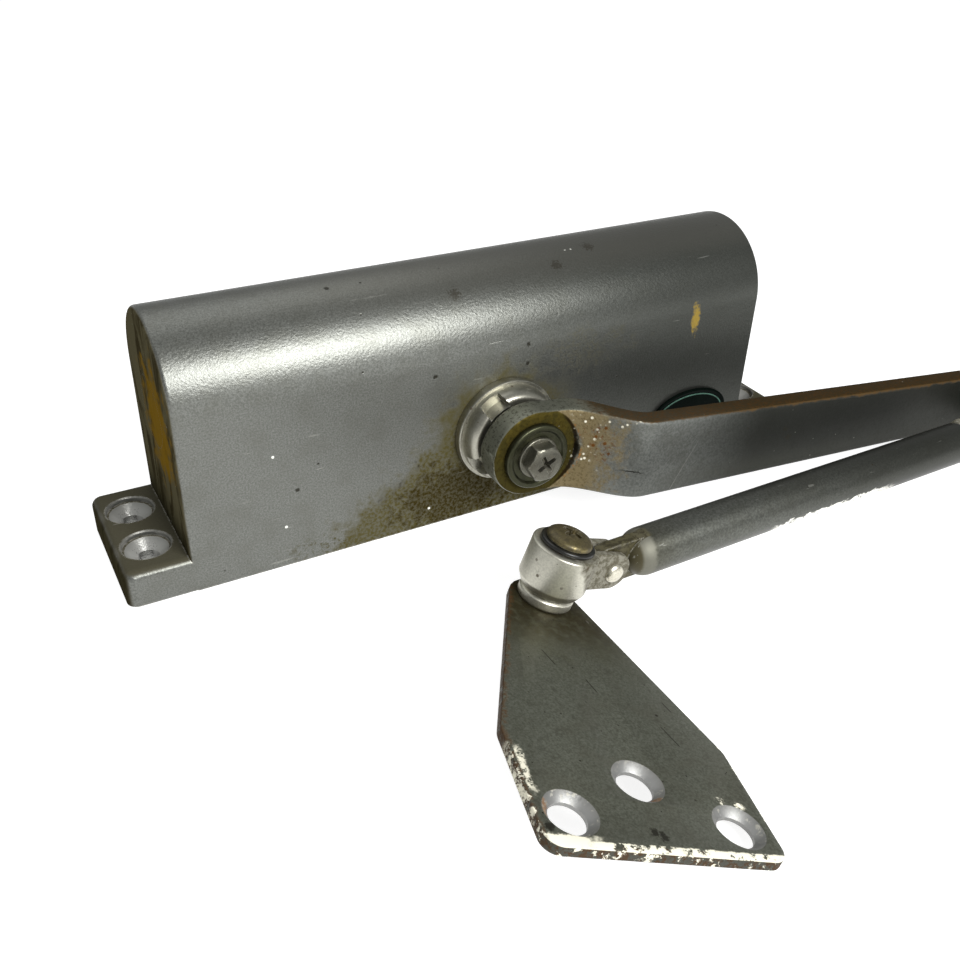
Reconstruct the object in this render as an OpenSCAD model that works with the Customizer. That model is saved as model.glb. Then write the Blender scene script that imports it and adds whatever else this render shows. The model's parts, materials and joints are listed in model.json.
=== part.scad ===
// Surface-mounted hydraulic door closer with a jointed, adjustable arm.
// X runs along the body, Y along the spindle and Z away from the face that is
// screwed to the door. The origin is the centre of that mounting face.
// The arm is folded beside the body, with the bracket plate leaning on one edge.

/* [Body] */
// Length of the cast body without its ears
body_length = 190; // [186:1:200]
// Width of the body, across the spindle
body_width = 44; // [44:0.5:48]
// Height of the body above the mounting face
body_height = 73.5; // [73:0.5:80]
// Distance that each ear reaches past the body
ear_length = 17.5; // [16:0.5:22]
// Thickness of the ears
ear_thickness = 10.6; // [9:0.2:12]
// Distance between the fixing holes, along the body
hole_spacing_long = 207.4; // [206:0.2:208]
// Distance between the fixing holes, across the body
hole_spacing_short = 19; // [17:0.5:21]
// Diameter of the fixing holes
fixing_hole_d = 6.5; // [5:0.1:7]
// Diameter of the fixing holes' countersinks
fixing_sink_d = 13.2; // [12:0.1:14]

/* [Mechanism] */
// Height of the spindle above the mounting face
spindle_height = 27.8; // [27.6:0.1:28]
// Height of the piston bore above the mounting face
bore_height = 45; // [45:0.1:45.5]
// Diameter of the piston bore
bore_d = 34; // [33.9:0.05:34]
// Diameter of the spindle in its bearings
journal_d = 16; // [15.8:0.1:16]
// Number of teeth on the pinion
pinion_teeth = 12; // [12:1:12]
// Radius of the pinion's pitch circle
pitch_radius = 8; // [8:0.1:8]
// Turns of the closing spring
spring_turns = 8; // [5:1:9]
// Diameter of the spring wire
spring_wire_d = 4; // [3:0.5:4]

/* [Main arm] */
// Distance from the spindle to the elbow
arm_reach = 186.3; // [180:0.1:187]
// Angle at which the main arm slopes down to the elbow
arm_slope = 5.7; // [5.6:0.1:5.7]
// Thickness of the flat bar
arm_thickness = 7; // [6:0.5:7]
// Diameter of the boss on the spindle
arm_boss_d = 26.6; // [26:0.1:27]
// Diameter of the eye at the elbow
arm_eye_d = 18; // [17:0.1:18]

/* [Forearm] */
// Diameter of the forearm tube
tube_d = 13.4; // [13:0.1:14]
// Length of the tube from its rivet to its open end
tube_length = 146; // [140:1:150]
// Diameter of the threaded rod
rod_d = 8; // [6:0.5:8]
// Size of the jam nut across its flats
jam_nut_flats = 13; // [12:0.5:14]
// Diameter of the elbow knuckle
knuckle_d = 18; // [17:0.1:18]

/* [Bracket] */
// Distance from the pivot to the end of the plate
plate_length = 85.4; // [84:0.2:90]
// Distance from the pivot to the plate's shoulders
plate_shoulder = 53.8; // [50:0.2:58]
// Half the width of the plate at its shoulders
plate_half_width = 28; // [27.8:0.1:29]
// Thickness of the plate
plate_thickness = 2.6; // [2.4:0.1:2.6]
// Angle at which the plate lies, rolled towards the elbow
plate_roll = 20; // [20:0.1:20.2]
// Diameter of the swivel drum
drum_d = 18.2; // [17:0.1:18.4]
// Diameter of the plate's screw holes
plate_hole_d = 8.4; // [6:0.1:8.4]
// Diameter of the plate's countersinks
plate_sink_d = 12; // [11:0.1:12]

/* [Hidden] */

smooth = 96;
eps = 0.01;
slack = 0.05;          // radial clearance of a running fit

// Body
half_length = body_length / 2;
half_width = body_width / 2;
crown_height = body_height - half_width;
ear_end = half_length + ear_length;
ear_corner_r = 3;
ear_edge_r = 2.5;
fixing_rim_depth = 1.4;
fixing_cone_r = fixing_sink_d / 2 - 0.5;

// Bore and what closes it
bore_r = bore_d / 2;
left_wall = 7.6;
cap_length = 11.6;
cap_r = bore_r + 1;
bore_left = -half_length + left_wall;
bore_right = half_length - cap_length;
plug_r = 10;
cap_groove = [3, 5.8];           // from the cap's inner face
o_ring_r = 1.15;
plug_o_ring_r = 0.7;
spanner_hole_offset = 9;

// Spindle, pinion and rack
spindle_offset = 0.6;            // from the middle of the body
journal_r = journal_d / 2;
pinion_half_width = 8.5;
tooth_module = 2 * pitch_radius / pinion_teeth;
pressure_angle = 25;
backlash = 0.2;
tip_r = pitch_radius + tooth_module;
root_r = pitch_radius - 1.25 * tooth_module;
rack_line = spindle_height + pitch_radius;
rack_root = rack_line + 1.25 * tooth_module;
rack_tip = rack_line - tooth_module;
rack_pitch = PI * tooth_module;
rack_half_width = 8;
rack_ends = [-2, 8];             // first and last tooth, counted from the pinion
square_side = 12;
spindle_front = -38.6;
spindle_rear = 27;
square_start = -30.5;
cross_bore_r = 11.5;

// Piston
piston_r = bore_r - 0.1;
piston_left = -27;
piston_right = 74;
pocket = [-13, 37];
ring_at = 60;
ring_width = 3;

// Castellated bearing nuts
nut_inner = bore_r;
nut_thread_r = 15.2;
nut_rim_r = 16.2;
nut_front = half_width + 8;
nut_crown_r = 12.7;
notch_width = 6.6;
notch_depth = 4.2;
bearing_outer_r = 11;
seal_outer_r = 10.5;

// Regulating valves on the right end face
valve_height = 17.5;
valve_offset = 9.5;
valve_r = 3;
valve_start = half_length - 0.8;
valve_end = 76;
valve_groove_at = 88;

// Main arm, in its own frame: X from the spindle to the elbow
boss_back = -32.1;
boss_front = -39.8;
bar_front = -53.4;
bar_back = bar_front + arm_thickness;
boss_r = arm_boss_d / 2;
eye_r = arm_eye_d / 2;
bar_root_half = 13.1;
bar_tip_half = 9.9;
bar_tip_at = arm_reach - 11;
spot_face_r = 13.9;
joggle_front = [8, 32];
joggle_back = [12, 33];
joggle_steps = 14;

// Arm screw and washer
washer_r = 10;
washer_thickness = 2.2;
washer_dish = 0.7;
screw_flats = 10;
screw_face = -46.5;
flange_r = 6.3;
flange_thickness = 1.1;
m6_r = 3;

// Elbow
elbow = [spindle_offset + arm_reach * cos(arm_slope), -69.2,
         spindle_height - arm_reach * sin(arm_slope)];
elbow_pin_r = 5;
bush_r = 6.5;
knuckle_back = bar_front - 1.5;
knuckle_front = -77.6;
knuckle_r = knuckle_d / 2;
ring_r = 7.3;
ring_thickness = 1.2;
dome_r = 6.2;
dome_rim = 0.5;
dome_height = 2.2;
m5_r = 2.5;

// Bracket plate and swivel: the shoe frame has its origin on the plate's top
// face at the pivot and its Z along the pivot
shoe_pivot = [-18, -76.7, 9.1];
plate_pitch = 2;
plate_azimuth = -105.2;
plate_end_half = 27.6;
plate_apex = -29.8;
plate_nose_r = 9.8;
plate_hole_at = 76.5;
plate_hole_half_pitch = 19.6;
plate_centre_hole_at = 65.9;
plate_sink_depth = (plate_sink_d - plate_hole_d) / 2;
collar_r = 7.5;
collar_height = 3.3;
drum_bottom = 3.7;
drum_top = 16.3;
drum_r = drum_d / 2;
rivet_reach = 16.5;
rivet_height = 10.45;
lug_inner = 2;
lug_outer = 4.2;
lug_r = 5.2;
rivet_r = 2.3;
rivet_head_r = 2.8;
tongue_half = 1.7;
tongue_end_r = 6.4;
nose_at = 12.8;                  // centre of the tube's round nose, from the rivet
tube_bore_from = 58;
rod_from = 92;
jam_nut_thickness = 6.5;

// The elbow as seen from the shoe frame, which sets the way the fork points
// and the angle at which the forearm rises from it
function turn_y(p, a) = [p.x * cos(a) + p.z * sin(a), p.y, p.z * cos(a) - p.x * sin(a)];
function turn_x(p, a) = [p.x, p.y * cos(a) - p.z * sin(a), p.y * sin(a) + p.z * cos(a)];
elbow_seen = turn_x(turn_y(elbow - shoe_pivot, -plate_roll), -plate_pitch);
fork_azimuth = atan2(elbow_seen.y, elbow_seen.x);
elbow_out = norm([elbow_seen.x, elbow_seen.y]) - rivet_reach;
elbow_up = elbow_seen.z - rivet_height;
forearm_rise = atan2(elbow_up, elbow_out);
forearm_length = norm([elbow_out, elbow_up]);

silver = [0.66, 0.67, 0.64];
dark_steel = [0.35, 0.36, 0.33];
black_rubber = [0.06, 0.06, 0.06];
brass = [0.55, 0.45, 0.25];

// ---- helpers -------------------------------------------------------------

// Stands its children, drawn up Z, along +Y from y
module along_y(y = 0) translate([0, y, 0]) rotate([-90, 0, 0]) children();

// Stands its children, drawn up Z, along -Y from y
module against_y(y = 0) translate([0, y, 0]) rotate([90, 0, 0]) children();

// Lays its children, drawn up Z, along +X from x
module along_x(x = 0) translate([x, 0, 0]) rotate([0, 90, 0]) children();

module at_spindle() translate([spindle_offset, 0, spindle_height]) children();

module at_bore() translate([0, 0, bore_height]) children();

module arm_frame() at_spindle() rotate([0, arm_slope, 0]) children();

module at_elbow() translate([elbow.x, 0, elbow.z]) children();

module shoe_frame()
    translate(shoe_pivot) rotate([0, plate_roll, 0]) rotate([plate_pitch, 0, 0]) children();

module fork_frame() shoe_frame() rotate([0, 0, fork_azimuth]) children();

module forearm_frame()
    fork_frame() translate([rivet_reach, 0, rivet_height])
        rotate([0, -forearm_rise, 0]) children();

module ring(outer, inner, height)
    difference() {
        cylinder(r = outer, h = height, $fn = smooth);
        translate([0, 0, -eps]) cylinder(r = inner, h = height + 2 * eps, $fn = smooth);
    }

module o_ring(major, minor)
    rotate_extrude($fn = smooth) translate([major, 0]) circle(r = minor, $fn = 24);

// A rounded corner at b of the outline a-b-c, as steps + 1 points
function unit(v) = v / norm(v);
function corner(a, b, c, r, steps = 8) =
    let (u = unit(a - b), v = unit(c - b),
         half = acos(u * v) / 2,
         centre = b + unit(u + v) * r / sin(half),
         from = b + u * r / tan(half) - centre,
         to = b + v * r / tan(half) - centre,
         start = atan2(from.y, from.x),
         swing = atan2(from.x * to.y - from.y * to.x, from * to))
    [for (i = [0:steps]) centre + r * [cos(start + swing * i / steps),
                                       sin(start + swing * i / steps)]];

// An outline with each corner rounded by its own radius
function rounded(points, radii) =
    let (n = len(points))
    [for (i = [0:n - 1])
        each corner(points[(i + n - 1) % n], points[i], points[(i + 1) % n], radii[i])];

// Domed screw head with a cross recess, from its seat up Z
module dome_head(r, rim, rise) {
    ball = (r * r + rise * rise) / (2 * rise);
    difference() {
        union() {
            cylinder(r = r, h = rim, $fn = smooth);
            translate([0, 0, rim]) intersection() {
                translate([0, 0, rise - ball]) sphere(r = ball, $fn = smooth);
                cylinder(r = r, h = rise + 1, $fn = smooth);
            }
        }
        cross_recess(rim + rise, r * 0.36, 1.3, 1.5);
    }
}

// Two crossed slots cut down from height top
module cross_recess(top, reach, width, depth)
    for (turn = [0, 90]) rotate([0, 0, turn])
        translate([-reach, -width / 2, top - depth]) cube([2 * reach, width, depth + 1]);

// ---- body ----------------------------------------------------------------

// The section of the body, in Y and Z
module body_section() {
    translate([-half_width, 0]) square([body_width, crown_height]);
    translate([0, crown_height]) circle(r = half_width, $fn = smooth);
}

// The two ears as one slab, rounded in plan and along its upper edges
module ear_slab() {
    plan = [[-ear_end, -half_width], [ear_end, -half_width],
            [ear_end, half_width], [-ear_end, half_width]];
    long_side = [[-ear_end, 0], [ear_end, 0],
                 [ear_end, ear_thickness], [-ear_end, ear_thickness]];
    short_side = [[-half_width, 0], [half_width, 0],
                  [half_width, ear_thickness], [-half_width, ear_thickness]];
    edges = [0.3, 0.3, ear_edge_r, ear_edge_r];
    intersection() {
        linear_extrude(ear_thickness) polygon(rounded(plan, [for (i = [0:3]) ear_corner_r]));
        translate([0, half_width, 0]) rotate([90, 0, 0])
            linear_extrude(body_width) polygon(rounded(long_side, edges));
        rotate([90, 0, 90]) translate([0, 0, -ear_end])
            linear_extrude(2 * ear_end) polygon(rounded(short_side, edges));
    }
}

module fixing_hole() {
    cone_height = fixing_cone_r - fixing_hole_d / 2;
    translate([0, 0, -1]) cylinder(d = fixing_hole_d, h = ear_thickness + 2, $fn = smooth);
    translate([0, 0, ear_thickness - fixing_rim_depth - cone_height])
        cylinder(d1 = fixing_hole_d, r2 = fixing_cone_r, h = cone_height, $fn = smooth);
    translate([0, 0, ear_thickness - fixing_rim_depth])
        cylinder(d = fixing_sink_d, h = fixing_rim_depth + 1, $fn = smooth);
}

// Bore for a regulating screw, with its two oil ways up to the piston bore
module valve_way(side) translate([0, side * valve_offset, 0]) {
    translate([0, 0, valve_height]) along_x(70)
        cylinder(r = valve_r + slack, h = half_length - 69, $fn = smooth);
    translate([0, 0, valve_height]) along_x(58) cylinder(r = 1.2, h = 14, $fn = 24);
    for (x = [60, 73])
        translate([x, 0, valve_height]) cylinder(r = 1.2, h = 16, $fn = 24);
}

module housing() color(silver) difference() {
    union() {
        rotate([90, 0, 90]) translate([0, 0, -half_length])
            linear_extrude(body_length) body_section();
        ear_slab();
    }
    for (x = [-1, 1], y = [-1, 1])
        translate([x * hole_spacing_long / 2, y * hole_spacing_short / 2, 0]) fixing_hole();
    at_bore() along_x(bore_left) cylinder(r = bore_r, h = body_length, $fn = smooth);
    at_bore() along_x(bore_right) cylinder(r = cap_r + slack, h = body_length, $fn = smooth);
    at_bore() along_x(-half_length - 1)
        cylinder(r = plug_r + slack, h = left_wall + 2, $fn = smooth);
    at_spindle() along_y(-half_width - 1)
        cylinder(r = cross_bore_r, h = body_width + 2, $fn = smooth);
    for (side = [-1, 1]) at_spindle() scale([1, side, 1]) along_y(nut_inner)
        cylinder(r = nut_thread_r + slack, h = half_width, $fn = smooth);
    for (side = [-1, 1]) valve_way(side);
}

// Oval plate with a raised ring, left blank
module badge() {
    half_long = 15.4;
    half_short = 9.2;
    rim = 0.9;
    function oval(shrink) = [for (i = [0:71])
        [(half_long - shrink) * cos(5 * i), (half_short - shrink) * sin(5 * i)]];
    color([0.05, 0.08, 0.07]) translate([71.8, -half_width, 15.2]) rotate([90, 0, 0])
        difference() {
            linear_extrude(1) polygon(oval(0));
            translate([0, 0, 0.7]) linear_extrude(1) polygon(oval(rim));
        }
}

module end_cap() color(silver) at_bore() difference() {
    along_x(bore_right) cylinder(r = cap_r, h = cap_length, $fn = smooth);
    along_x(bore_right + cap_groove[0]) difference() {
        cylinder(r = cap_r + 1, h = cap_groove[1] - cap_groove[0], $fn = smooth);
        cylinder(r = cap_r - 2.4, h = cap_groove[1], $fn = smooth);
    }
    for (side = [-1, 1]) translate([0, side * spanner_hole_offset, 0])
        along_x(half_length - 5) cylinder(r = 2, h = 6, $fn = smooth);
}

module end_cap_o_ring() color(black_rubber) at_bore()
    along_x(bore_right + (cap_groove[0] + cap_groove[1]) / 2)
        o_ring(cap_r - o_ring_r, o_ring_r);

module spring_plug() color(silver) at_bore() difference() {
    along_x(-half_length) cylinder(r = plug_r, h = left_wall, $fn = smooth);
    along_x(-half_length + 3) difference() {
        cylinder(r = plug_r + 1, h = 1.8, $fn = smooth);
        cylinder(r = plug_r - 1.5, h = 1.8, $fn = smooth);
    }
}

module spring_plug_o_ring() color(black_rubber) at_bore()
    along_x(-half_length + 3.9) o_ring(plug_r - plug_o_ring_r, plug_o_ring_r);

module spring_seat() color(dark_steel) at_bore() {
    along_x(bore_left + 0.2) cylinder(r = bore_r - 0.3, h = 3.8, $fn = smooth);
    along_x(bore_left + 4) cylinder(r = 8, h = 4, $fn = smooth);
}

// The spring as a round wire swept along a helix
module closing_spring() {
    wire_r = spring_wire_d / 2;
    coil_r = 12.2;
    sides = 10;
    steps_per_turn = 20;
    first = bore_left + 4.2 + wire_r;
    last = piston_left - 0.2 - wire_r;
    rings = spring_turns * steps_per_turn;
    rise = last - first;
    lead = atan2(rise / spring_turns, 2 * PI * coil_r);
    function wire_point(i, k) =
        let (turn = 360 * i / steps_per_turn, around = 360 * k / sides,
             out = coil_r + wire_r * cos(around), up = wire_r * sin(around))
        [first + rise * i / rings + up * cos(lead),
         out * cos(turn) + up * sin(lead) * sin(turn),
         out * sin(turn) - up * sin(lead) * cos(turn)];
    points = [for (i = [0:rings], k = [0:sides - 1]) wire_point(i, k)];
    walls = [for (i = [0:rings - 1], k = [0:sides - 1])
        let (next = (k + 1) % sides)
        [i * sides + k, i * sides + next, (i + 1) * sides + next, (i + 1) * sides + k]];
    first_end = [for (k = [sides - 1:-1:0]) k];
    last_end = [for (k = [0:sides - 1]) rings * sides + k];
    color(dark_steel) at_bore()
        polyhedron(points = points, faces = concat([first_end], walls, [last_end]));
}

// ---- piston --------------------------------------------------------------

module rack_tooth(at) {
    half = rack_pitch / 4 - backlash / 4;
    lean = tan(pressure_angle);
    translate([at, 0, 0]) rotate([90, 0, 0]) translate([0, 0, -rack_half_width])
        linear_extrude(2 * rack_half_width) polygon([
            [-half + tooth_module * lean, rack_tip],
            [half - tooth_module * lean, rack_tip],
            [half + 1.25 * tooth_module * lean, rack_root + 0.5],
            [-half - 1.25 * tooth_module * lean, rack_root + 0.5]]);
}

module rack_piston() color(dark_steel) {
    difference() {
        at_bore() along_x(piston_left)
            cylinder(r = piston_r, h = piston_right - piston_left, $fn = smooth);
        translate([pocket[0], -bore_r - 1, bore_height - bore_r - 1])
            cube([pocket[1] - pocket[0], bore_d + 2, rack_root - bore_height + bore_r + 1]);
        at_bore() along_x(ring_at) difference() {
            cylinder(r = piston_r + 1, h = ring_width + 0.2, $fn = smooth);
            cylinder(r = piston_r - 1.5, h = ring_width + 0.2, $fn = smooth);
        }
        at_bore() along_x(60) cylinder(r = 5 + slack, h = 20, $fn = smooth);
        at_bore() along_x(pocket[1] - 10) cylinder(r = 2.2, h = 60, $fn = smooth);
    }
    for (i = [rack_ends[0]:rack_ends[1]]) rack_tooth(spindle_offset + i * rack_pitch);
}

module piston_ring() color([0.85, 0.85, 0.8]) at_bore()
    along_x(ring_at + 0.1) ring(bore_r - 0.04, piston_r - 1.4, ring_width);

module check_valve_seat() color(brass) at_bore() along_x(68) ring(5, 2, 6);

module check_ball() color([0.7, 0.7, 0.7]) at_bore()
    translate([65.6, 0, 0]) sphere(r = 3, $fn = 48);

// ---- spindle -------------------------------------------------------------

// Half the angle that a tooth spans at radius r, in degrees
function involute(a) = (tan(a) - a * PI / 180) * 180 / PI;
function tooth_half_angle(r) =
    let (base = pitch_radius * cos(pressure_angle), at = max(r, base))
    90 / pinion_teeth - backlash / 4 / pitch_radius * 180 / PI
        + involute(pressure_angle) - involute(acos(base / at));

module pinion_section() {
    radii = [for (i = [0:6]) root_r - 0.3 + (tip_r - root_r + 0.3) * i / 6];
    circle(r = root_r, $fn = smooth);
    for (i = [0:pinion_teeth - 1]) rotate([0, 0, (i + 0.5) * 360 / pinion_teeth + 90])
        polygon(concat(
            [for (r = radii) r * [cos(-tooth_half_angle(r)), sin(-tooth_half_angle(r))]],
            [for (k = [6:-1:0]) let (r = radii[k])
                r * [cos(tooth_half_angle(r)), sin(tooth_half_angle(r))]]));
}

module spindle() color(dark_steel) at_spindle() difference() {
    union() {
        against_y(pinion_half_width) linear_extrude(2 * pinion_half_width) pinion_section();
        along_y(square_start) cylinder(r = journal_r, h = -square_start - pinion_half_width,
                                       $fn = smooth);
        along_y(pinion_half_width) cylinder(r = journal_r, h = spindle_rear - pinion_half_width,
                                            $fn = smooth);
        intersection() {
            along_y(spindle_front) cylinder(r = journal_r, h = 12, $fn = smooth);
            rotate([0, arm_slope, 0]) translate([-square_side / 2, spindle_front, -square_side / 2])
                cube([square_side, 12, square_side]);
        }
    }
    along_y(spindle_front - 1) cylinder(r = m6_r + slack, h = 15, $fn = smooth);
}

// Castellated nut that carries a spindle bearing; side is -1 in front, 1 behind
module bearing_nut(side) color(silver) at_spindle() scale([1, side, 1]) difference() {
    rim_drop = nut_front - half_width - 2.4;
    profile = concat(
        [[8.6, nut_inner], [nut_thread_r, nut_inner], [nut_thread_r, half_width],
         [nut_rim_r, half_width], [nut_rim_r, half_width + 2.4]],
        [for (i = [1:8]) [nut_crown_r + (nut_rim_r - nut_crown_r) * cos(90 * i / 8),
                          half_width + 2.4 + rim_drop * sin(90 * i / 8)]],
        [[8.6, nut_front]]);
    rotate([-90, 0, 0]) rotate_extrude($fn = smooth) polygon(profile);
    along_y(nut_inner - eps) cylinder(r = bearing_outer_r + slack, h = 5.6, $fn = smooth);
    along_y(nut_inner) cylinder(r = seal_outer_r + 0.1, h = 10.2, $fn = smooth);
    for (i = [0:3]) rotate([0, 90 * i - 31, 0])
        translate([12.2, nut_front - notch_depth, -notch_width / 2])
            cube([3.2, notch_depth + 1, notch_width]);
}

module front_nut() bearing_nut(-1);
module rear_nut() bearing_nut(1);

module bearing(side) color(brass) at_spindle() scale([1, side, 1])
    along_y(nut_inner + 0.1) ring(bearing_outer_r, journal_r + slack, 5.3);

module front_bearing() bearing(-1);
module rear_bearing() bearing(1);

module seal(side) color(black_rubber) at_spindle() scale([1, side, 1])
    along_y(nut_inner + 5.8) ring(seal_outer_r, journal_r + slack, 4.2);

module front_seal() seal(-1);
module rear_seal() seal(1);

// Plastic cap that closes the unused end of the spindle
module rear_cap() color([0.12, 0.12, 0.12]) at_spindle() {
    along_y(nut_front - 2.6) cylinder(r = 8.5, h = 2.7, $fn = smooth);
    along_y(nut_front + 0.05) cylinder(r1 = 11.8, r2 = 10.6, h = 1.6, $fn = smooth);
}

// ---- regulating valves ---------------------------------------------------

module valve_frame(side) translate([0, side * valve_offset, valve_height]) children();

module valve_screw(side) color(brass) valve_frame(side) difference() {
    union() {
        along_x(valve_end) cylinder(r = valve_r, h = valve_start - valve_end, $fn = smooth);
        along_x(valve_end - 5) cylinder(r1 = 0.5, r2 = 1.8, h = 5 + eps, $fn = smooth);
    }
    along_x(valve_groove_at) difference() {
        cylinder(r = valve_r + 1, h = 1.4, $fn = smooth);
        cylinder(r = valve_r - 1, h = 1.4, $fn = smooth);
    }
    translate([valve_start - 1.4, -0.5, -valve_r - 1]) cube([3, 1, 2 * valve_r + 2]);
}

module valve_o_ring(side) color(black_rubber) valve_frame(side)
    along_x(valve_groove_at + 0.7) o_ring(valve_r - 0.45, 0.46);

module closing_screw() valve_screw(-1);
module closing_o_ring() valve_o_ring(-1);
module latch_screw() valve_screw(1);
module latch_o_ring() valve_o_ring(1);

// ---- main arm ------------------------------------------------------------

// A smooth step from 0 to 1 as x goes from ends[0] to ends[1]
function step(x, ends) = (1 - cos(180 * (x - ends[0]) / (ends[1] - ends[0]))) / 2;

// The arm seen from above: a bar that steps outwards from its boss
module arm_plan() {
    front = [for (i = [0:joggle_steps])
        let (x = joggle_front[0] + (joggle_front[1] - joggle_front[0]) * i / joggle_steps)
        [x, boss_front + (bar_front - boss_front) * step(x, joggle_front)]];
    back = [for (i = [joggle_steps:-1:0])
        let (x = joggle_back[0] + (joggle_back[1] - joggle_back[0]) * i / joggle_steps)
        [x, boss_back + (bar_back - boss_back) * step(x, joggle_back)]];
    far = arm_reach + eye_r + 1;
    polygon(concat([[-20, boss_back], [-20, boss_front]], front,
                   [[far, bar_front], [far, bar_back]], back));
}

// The arm seen from the side
module arm_side() {
    circle(r = boss_r, $fn = smooth);
    translate([arm_reach, 0]) circle(r = eye_r, $fn = smooth);
    polygon([[0, bar_root_half], [0, -bar_root_half], [bar_tip_at, -bar_tip_half],
             [arm_reach, -eye_r], [arm_reach, eye_r], [bar_tip_at, bar_tip_half]]);
}

module main_arm() color([0.42, 0.42, 0.39]) arm_frame() difference() {
    intersection() {
        translate([0, 0, -20]) linear_extrude(40) arm_plan();
        against_y(0) linear_extrude(80) arm_side();
    }
    against_y(boss_front) cylinder(r = spot_face_r, h = 20, $fn = smooth);
    translate([-square_side / 2 - slack, -50, -square_side / 2 - slack])
        cube([square_side + 2 * slack, 30, square_side + 2 * slack]);
    translate([arm_reach, 0, 0]) against_y(0)
        cylinder(r = elbow_pin_r + slack, h = 80, $fn = smooth);
}

module arm_washer() color([0.27, 0.29, 0.24]) at_spindle() difference() {
    against_y(boss_front) cylinder(r = washer_r, h = washer_thickness, $fn = smooth);
    against_y(boss_front - washer_thickness + washer_dish)
        cylinder(r = washer_r - 1.6, h = 3, $fn = smooth);
    against_y(0) cylinder(r = m6_r + 0.3, h = 60, $fn = smooth);
}

module arm_screw() color([0.5, 0.5, 0.47]) at_spindle() {
    seat = boss_front - washer_thickness + washer_dish;
    hex_height = seat - flange_thickness - screw_face;
    against_y(-26) cylinder(r = m6_r, h = -26 - seat + eps, $fn = smooth);
    against_y(seat) cylinder(r1 = flange_r, r2 = flange_r - 0.4, h = flange_thickness,
                             $fn = smooth);
    against_y(seat - flange_thickness + eps) difference() {
        cylinder(d = screw_flats / cos(30), h = hex_height + eps, $fn = 6);
        rotate([0, 0, 28]) cross_recess(hex_height + eps, 2.3, 1.1, 2);
    }
}

// ---- elbow ---------------------------------------------------------------

// Shouldered stud, riveted into the main arm
module elbow_stud() color(dark_steel) at_elbow() difference() {
    union() {
        against_y(bar_back + 2.6) cylinder(r1 = 6, r2 = 7.6, h = 2.6, $fn = smooth);
        against_y(bar_back + eps) cylinder(r = elbow_pin_r, h = bar_back - knuckle_front + 0.1,
                                           $fn = smooth);
    }
    along_y(knuckle_front - 1) cylinder(r = m5_r + slack, h = 15, $fn = smooth);
}

module elbow_washer() color(dark_steel) at_elbow()
    against_y(bar_front) ring(knuckle_r - 0.6, elbow_pin_r + slack, 1.3);

module elbow_ring() color(black_rubber) at_elbow()
    against_y(knuckle_front - 0.15) ring(ring_r, m5_r + 0.3, ring_thickness);

module elbow_screw() color(brass) at_elbow() {
    seat = knuckle_front - 0.15 - ring_thickness;
    against_y(seat) dome_head(dome_r, dome_rim, dome_height);
    along_y(seat - eps) cylinder(r = m5_r, h = 12, $fn = smooth);
}

module elbow_knuckle() color(silver) difference() {
    at_elbow() against_y(knuckle_back)
        rotate_extrude($fn = smooth) polygon([[0, 0], [knuckle_r - 0.8, 0], [knuckle_r, 0.8],
            [knuckle_r, knuckle_back - knuckle_front - 0.8],
            [knuckle_r - 0.8, knuckle_back - knuckle_front], [0, knuckle_back - knuckle_front]]);
    at_elbow() against_y(0) cylinder(r = bush_r + slack, h = 90, $fn = smooth);
    forearm_frame() along_x(rod_from) cylinder(d = rod_d + 0.1, h = forearm_length - rod_from,
                                               $fn = smooth);
}

module elbow_bush() color(brass) at_elbow()
    against_y(knuckle_back) ring(bush_r, elbow_pin_r + slack, knuckle_back - knuckle_front);

module threaded_rod() color(dark_steel) forearm_frame() along_x(rod_from)
    cylinder(d = rod_d, h = forearm_length - rod_from - bush_r - 0.5, $fn = smooth);

module jam_nut() color(silver) forearm_frame() along_x(tube_length + 0.05) difference() {
    cylinder(d = jam_nut_flats / cos(30), h = jam_nut_thickness, $fn = 6);
    translate([0, 0, -1]) cylinder(r = rod_d / 2 + slack, h = jam_nut_thickness + 2,
                                   $fn = smooth);
}

// ---- forearm tube and swivel ---------------------------------------------

module forearm_tube() color([0.55, 0.56, 0.53]) forearm_frame() difference() {
    union() {
        along_x(nose_at) rotate_extrude($fn = smooth) polygon(concat(
            [for (a = [0 : 10 : 90]) tube_d / 2 * [sin(a), -cos(a)]],
            [[tube_d / 2, tube_length - nose_at], [0, tube_length - nose_at]]));
        against_y(tongue_half) linear_extrude(2 * tongue_half) {
            circle(r = tongue_end_r, $fn = smooth);
            translate([0, -tongue_end_r]) square([nose_at + 0.5, 2 * tongue_end_r]);
        }
    }
    against_y(tube_d) cylinder(r = rivet_r + slack, h = 2 * tube_d, $fn = smooth);
    along_x(tube_bore_from) cylinder(r = rod_d / 2 + slack, h = tube_length, $fn = smooth);
}

module fork_rivet() color([0.6, 0.58, 0.5])
    fork_frame() translate([rivet_reach, 0, rivet_height]) {
        against_y(lug_outer) cylinder(r = rivet_r, h = 2 * lug_outer, $fn = smooth);
        for (side = [-1, 1]) scale([1, side, 1]) along_y(lug_outer)
            rivet_dome();
    }

module rivet_dome() {
    rise = 1.7;
    ball = (rivet_head_r * rivet_head_r + rise * rise) / (2 * rise);
    intersection() {
        translate([0, 0, rise - ball]) sphere(r = ball, $fn = smooth);
        cylinder(r = rivet_head_r + 1, h = rise + 1, $fn = smooth);
    }
}

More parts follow.
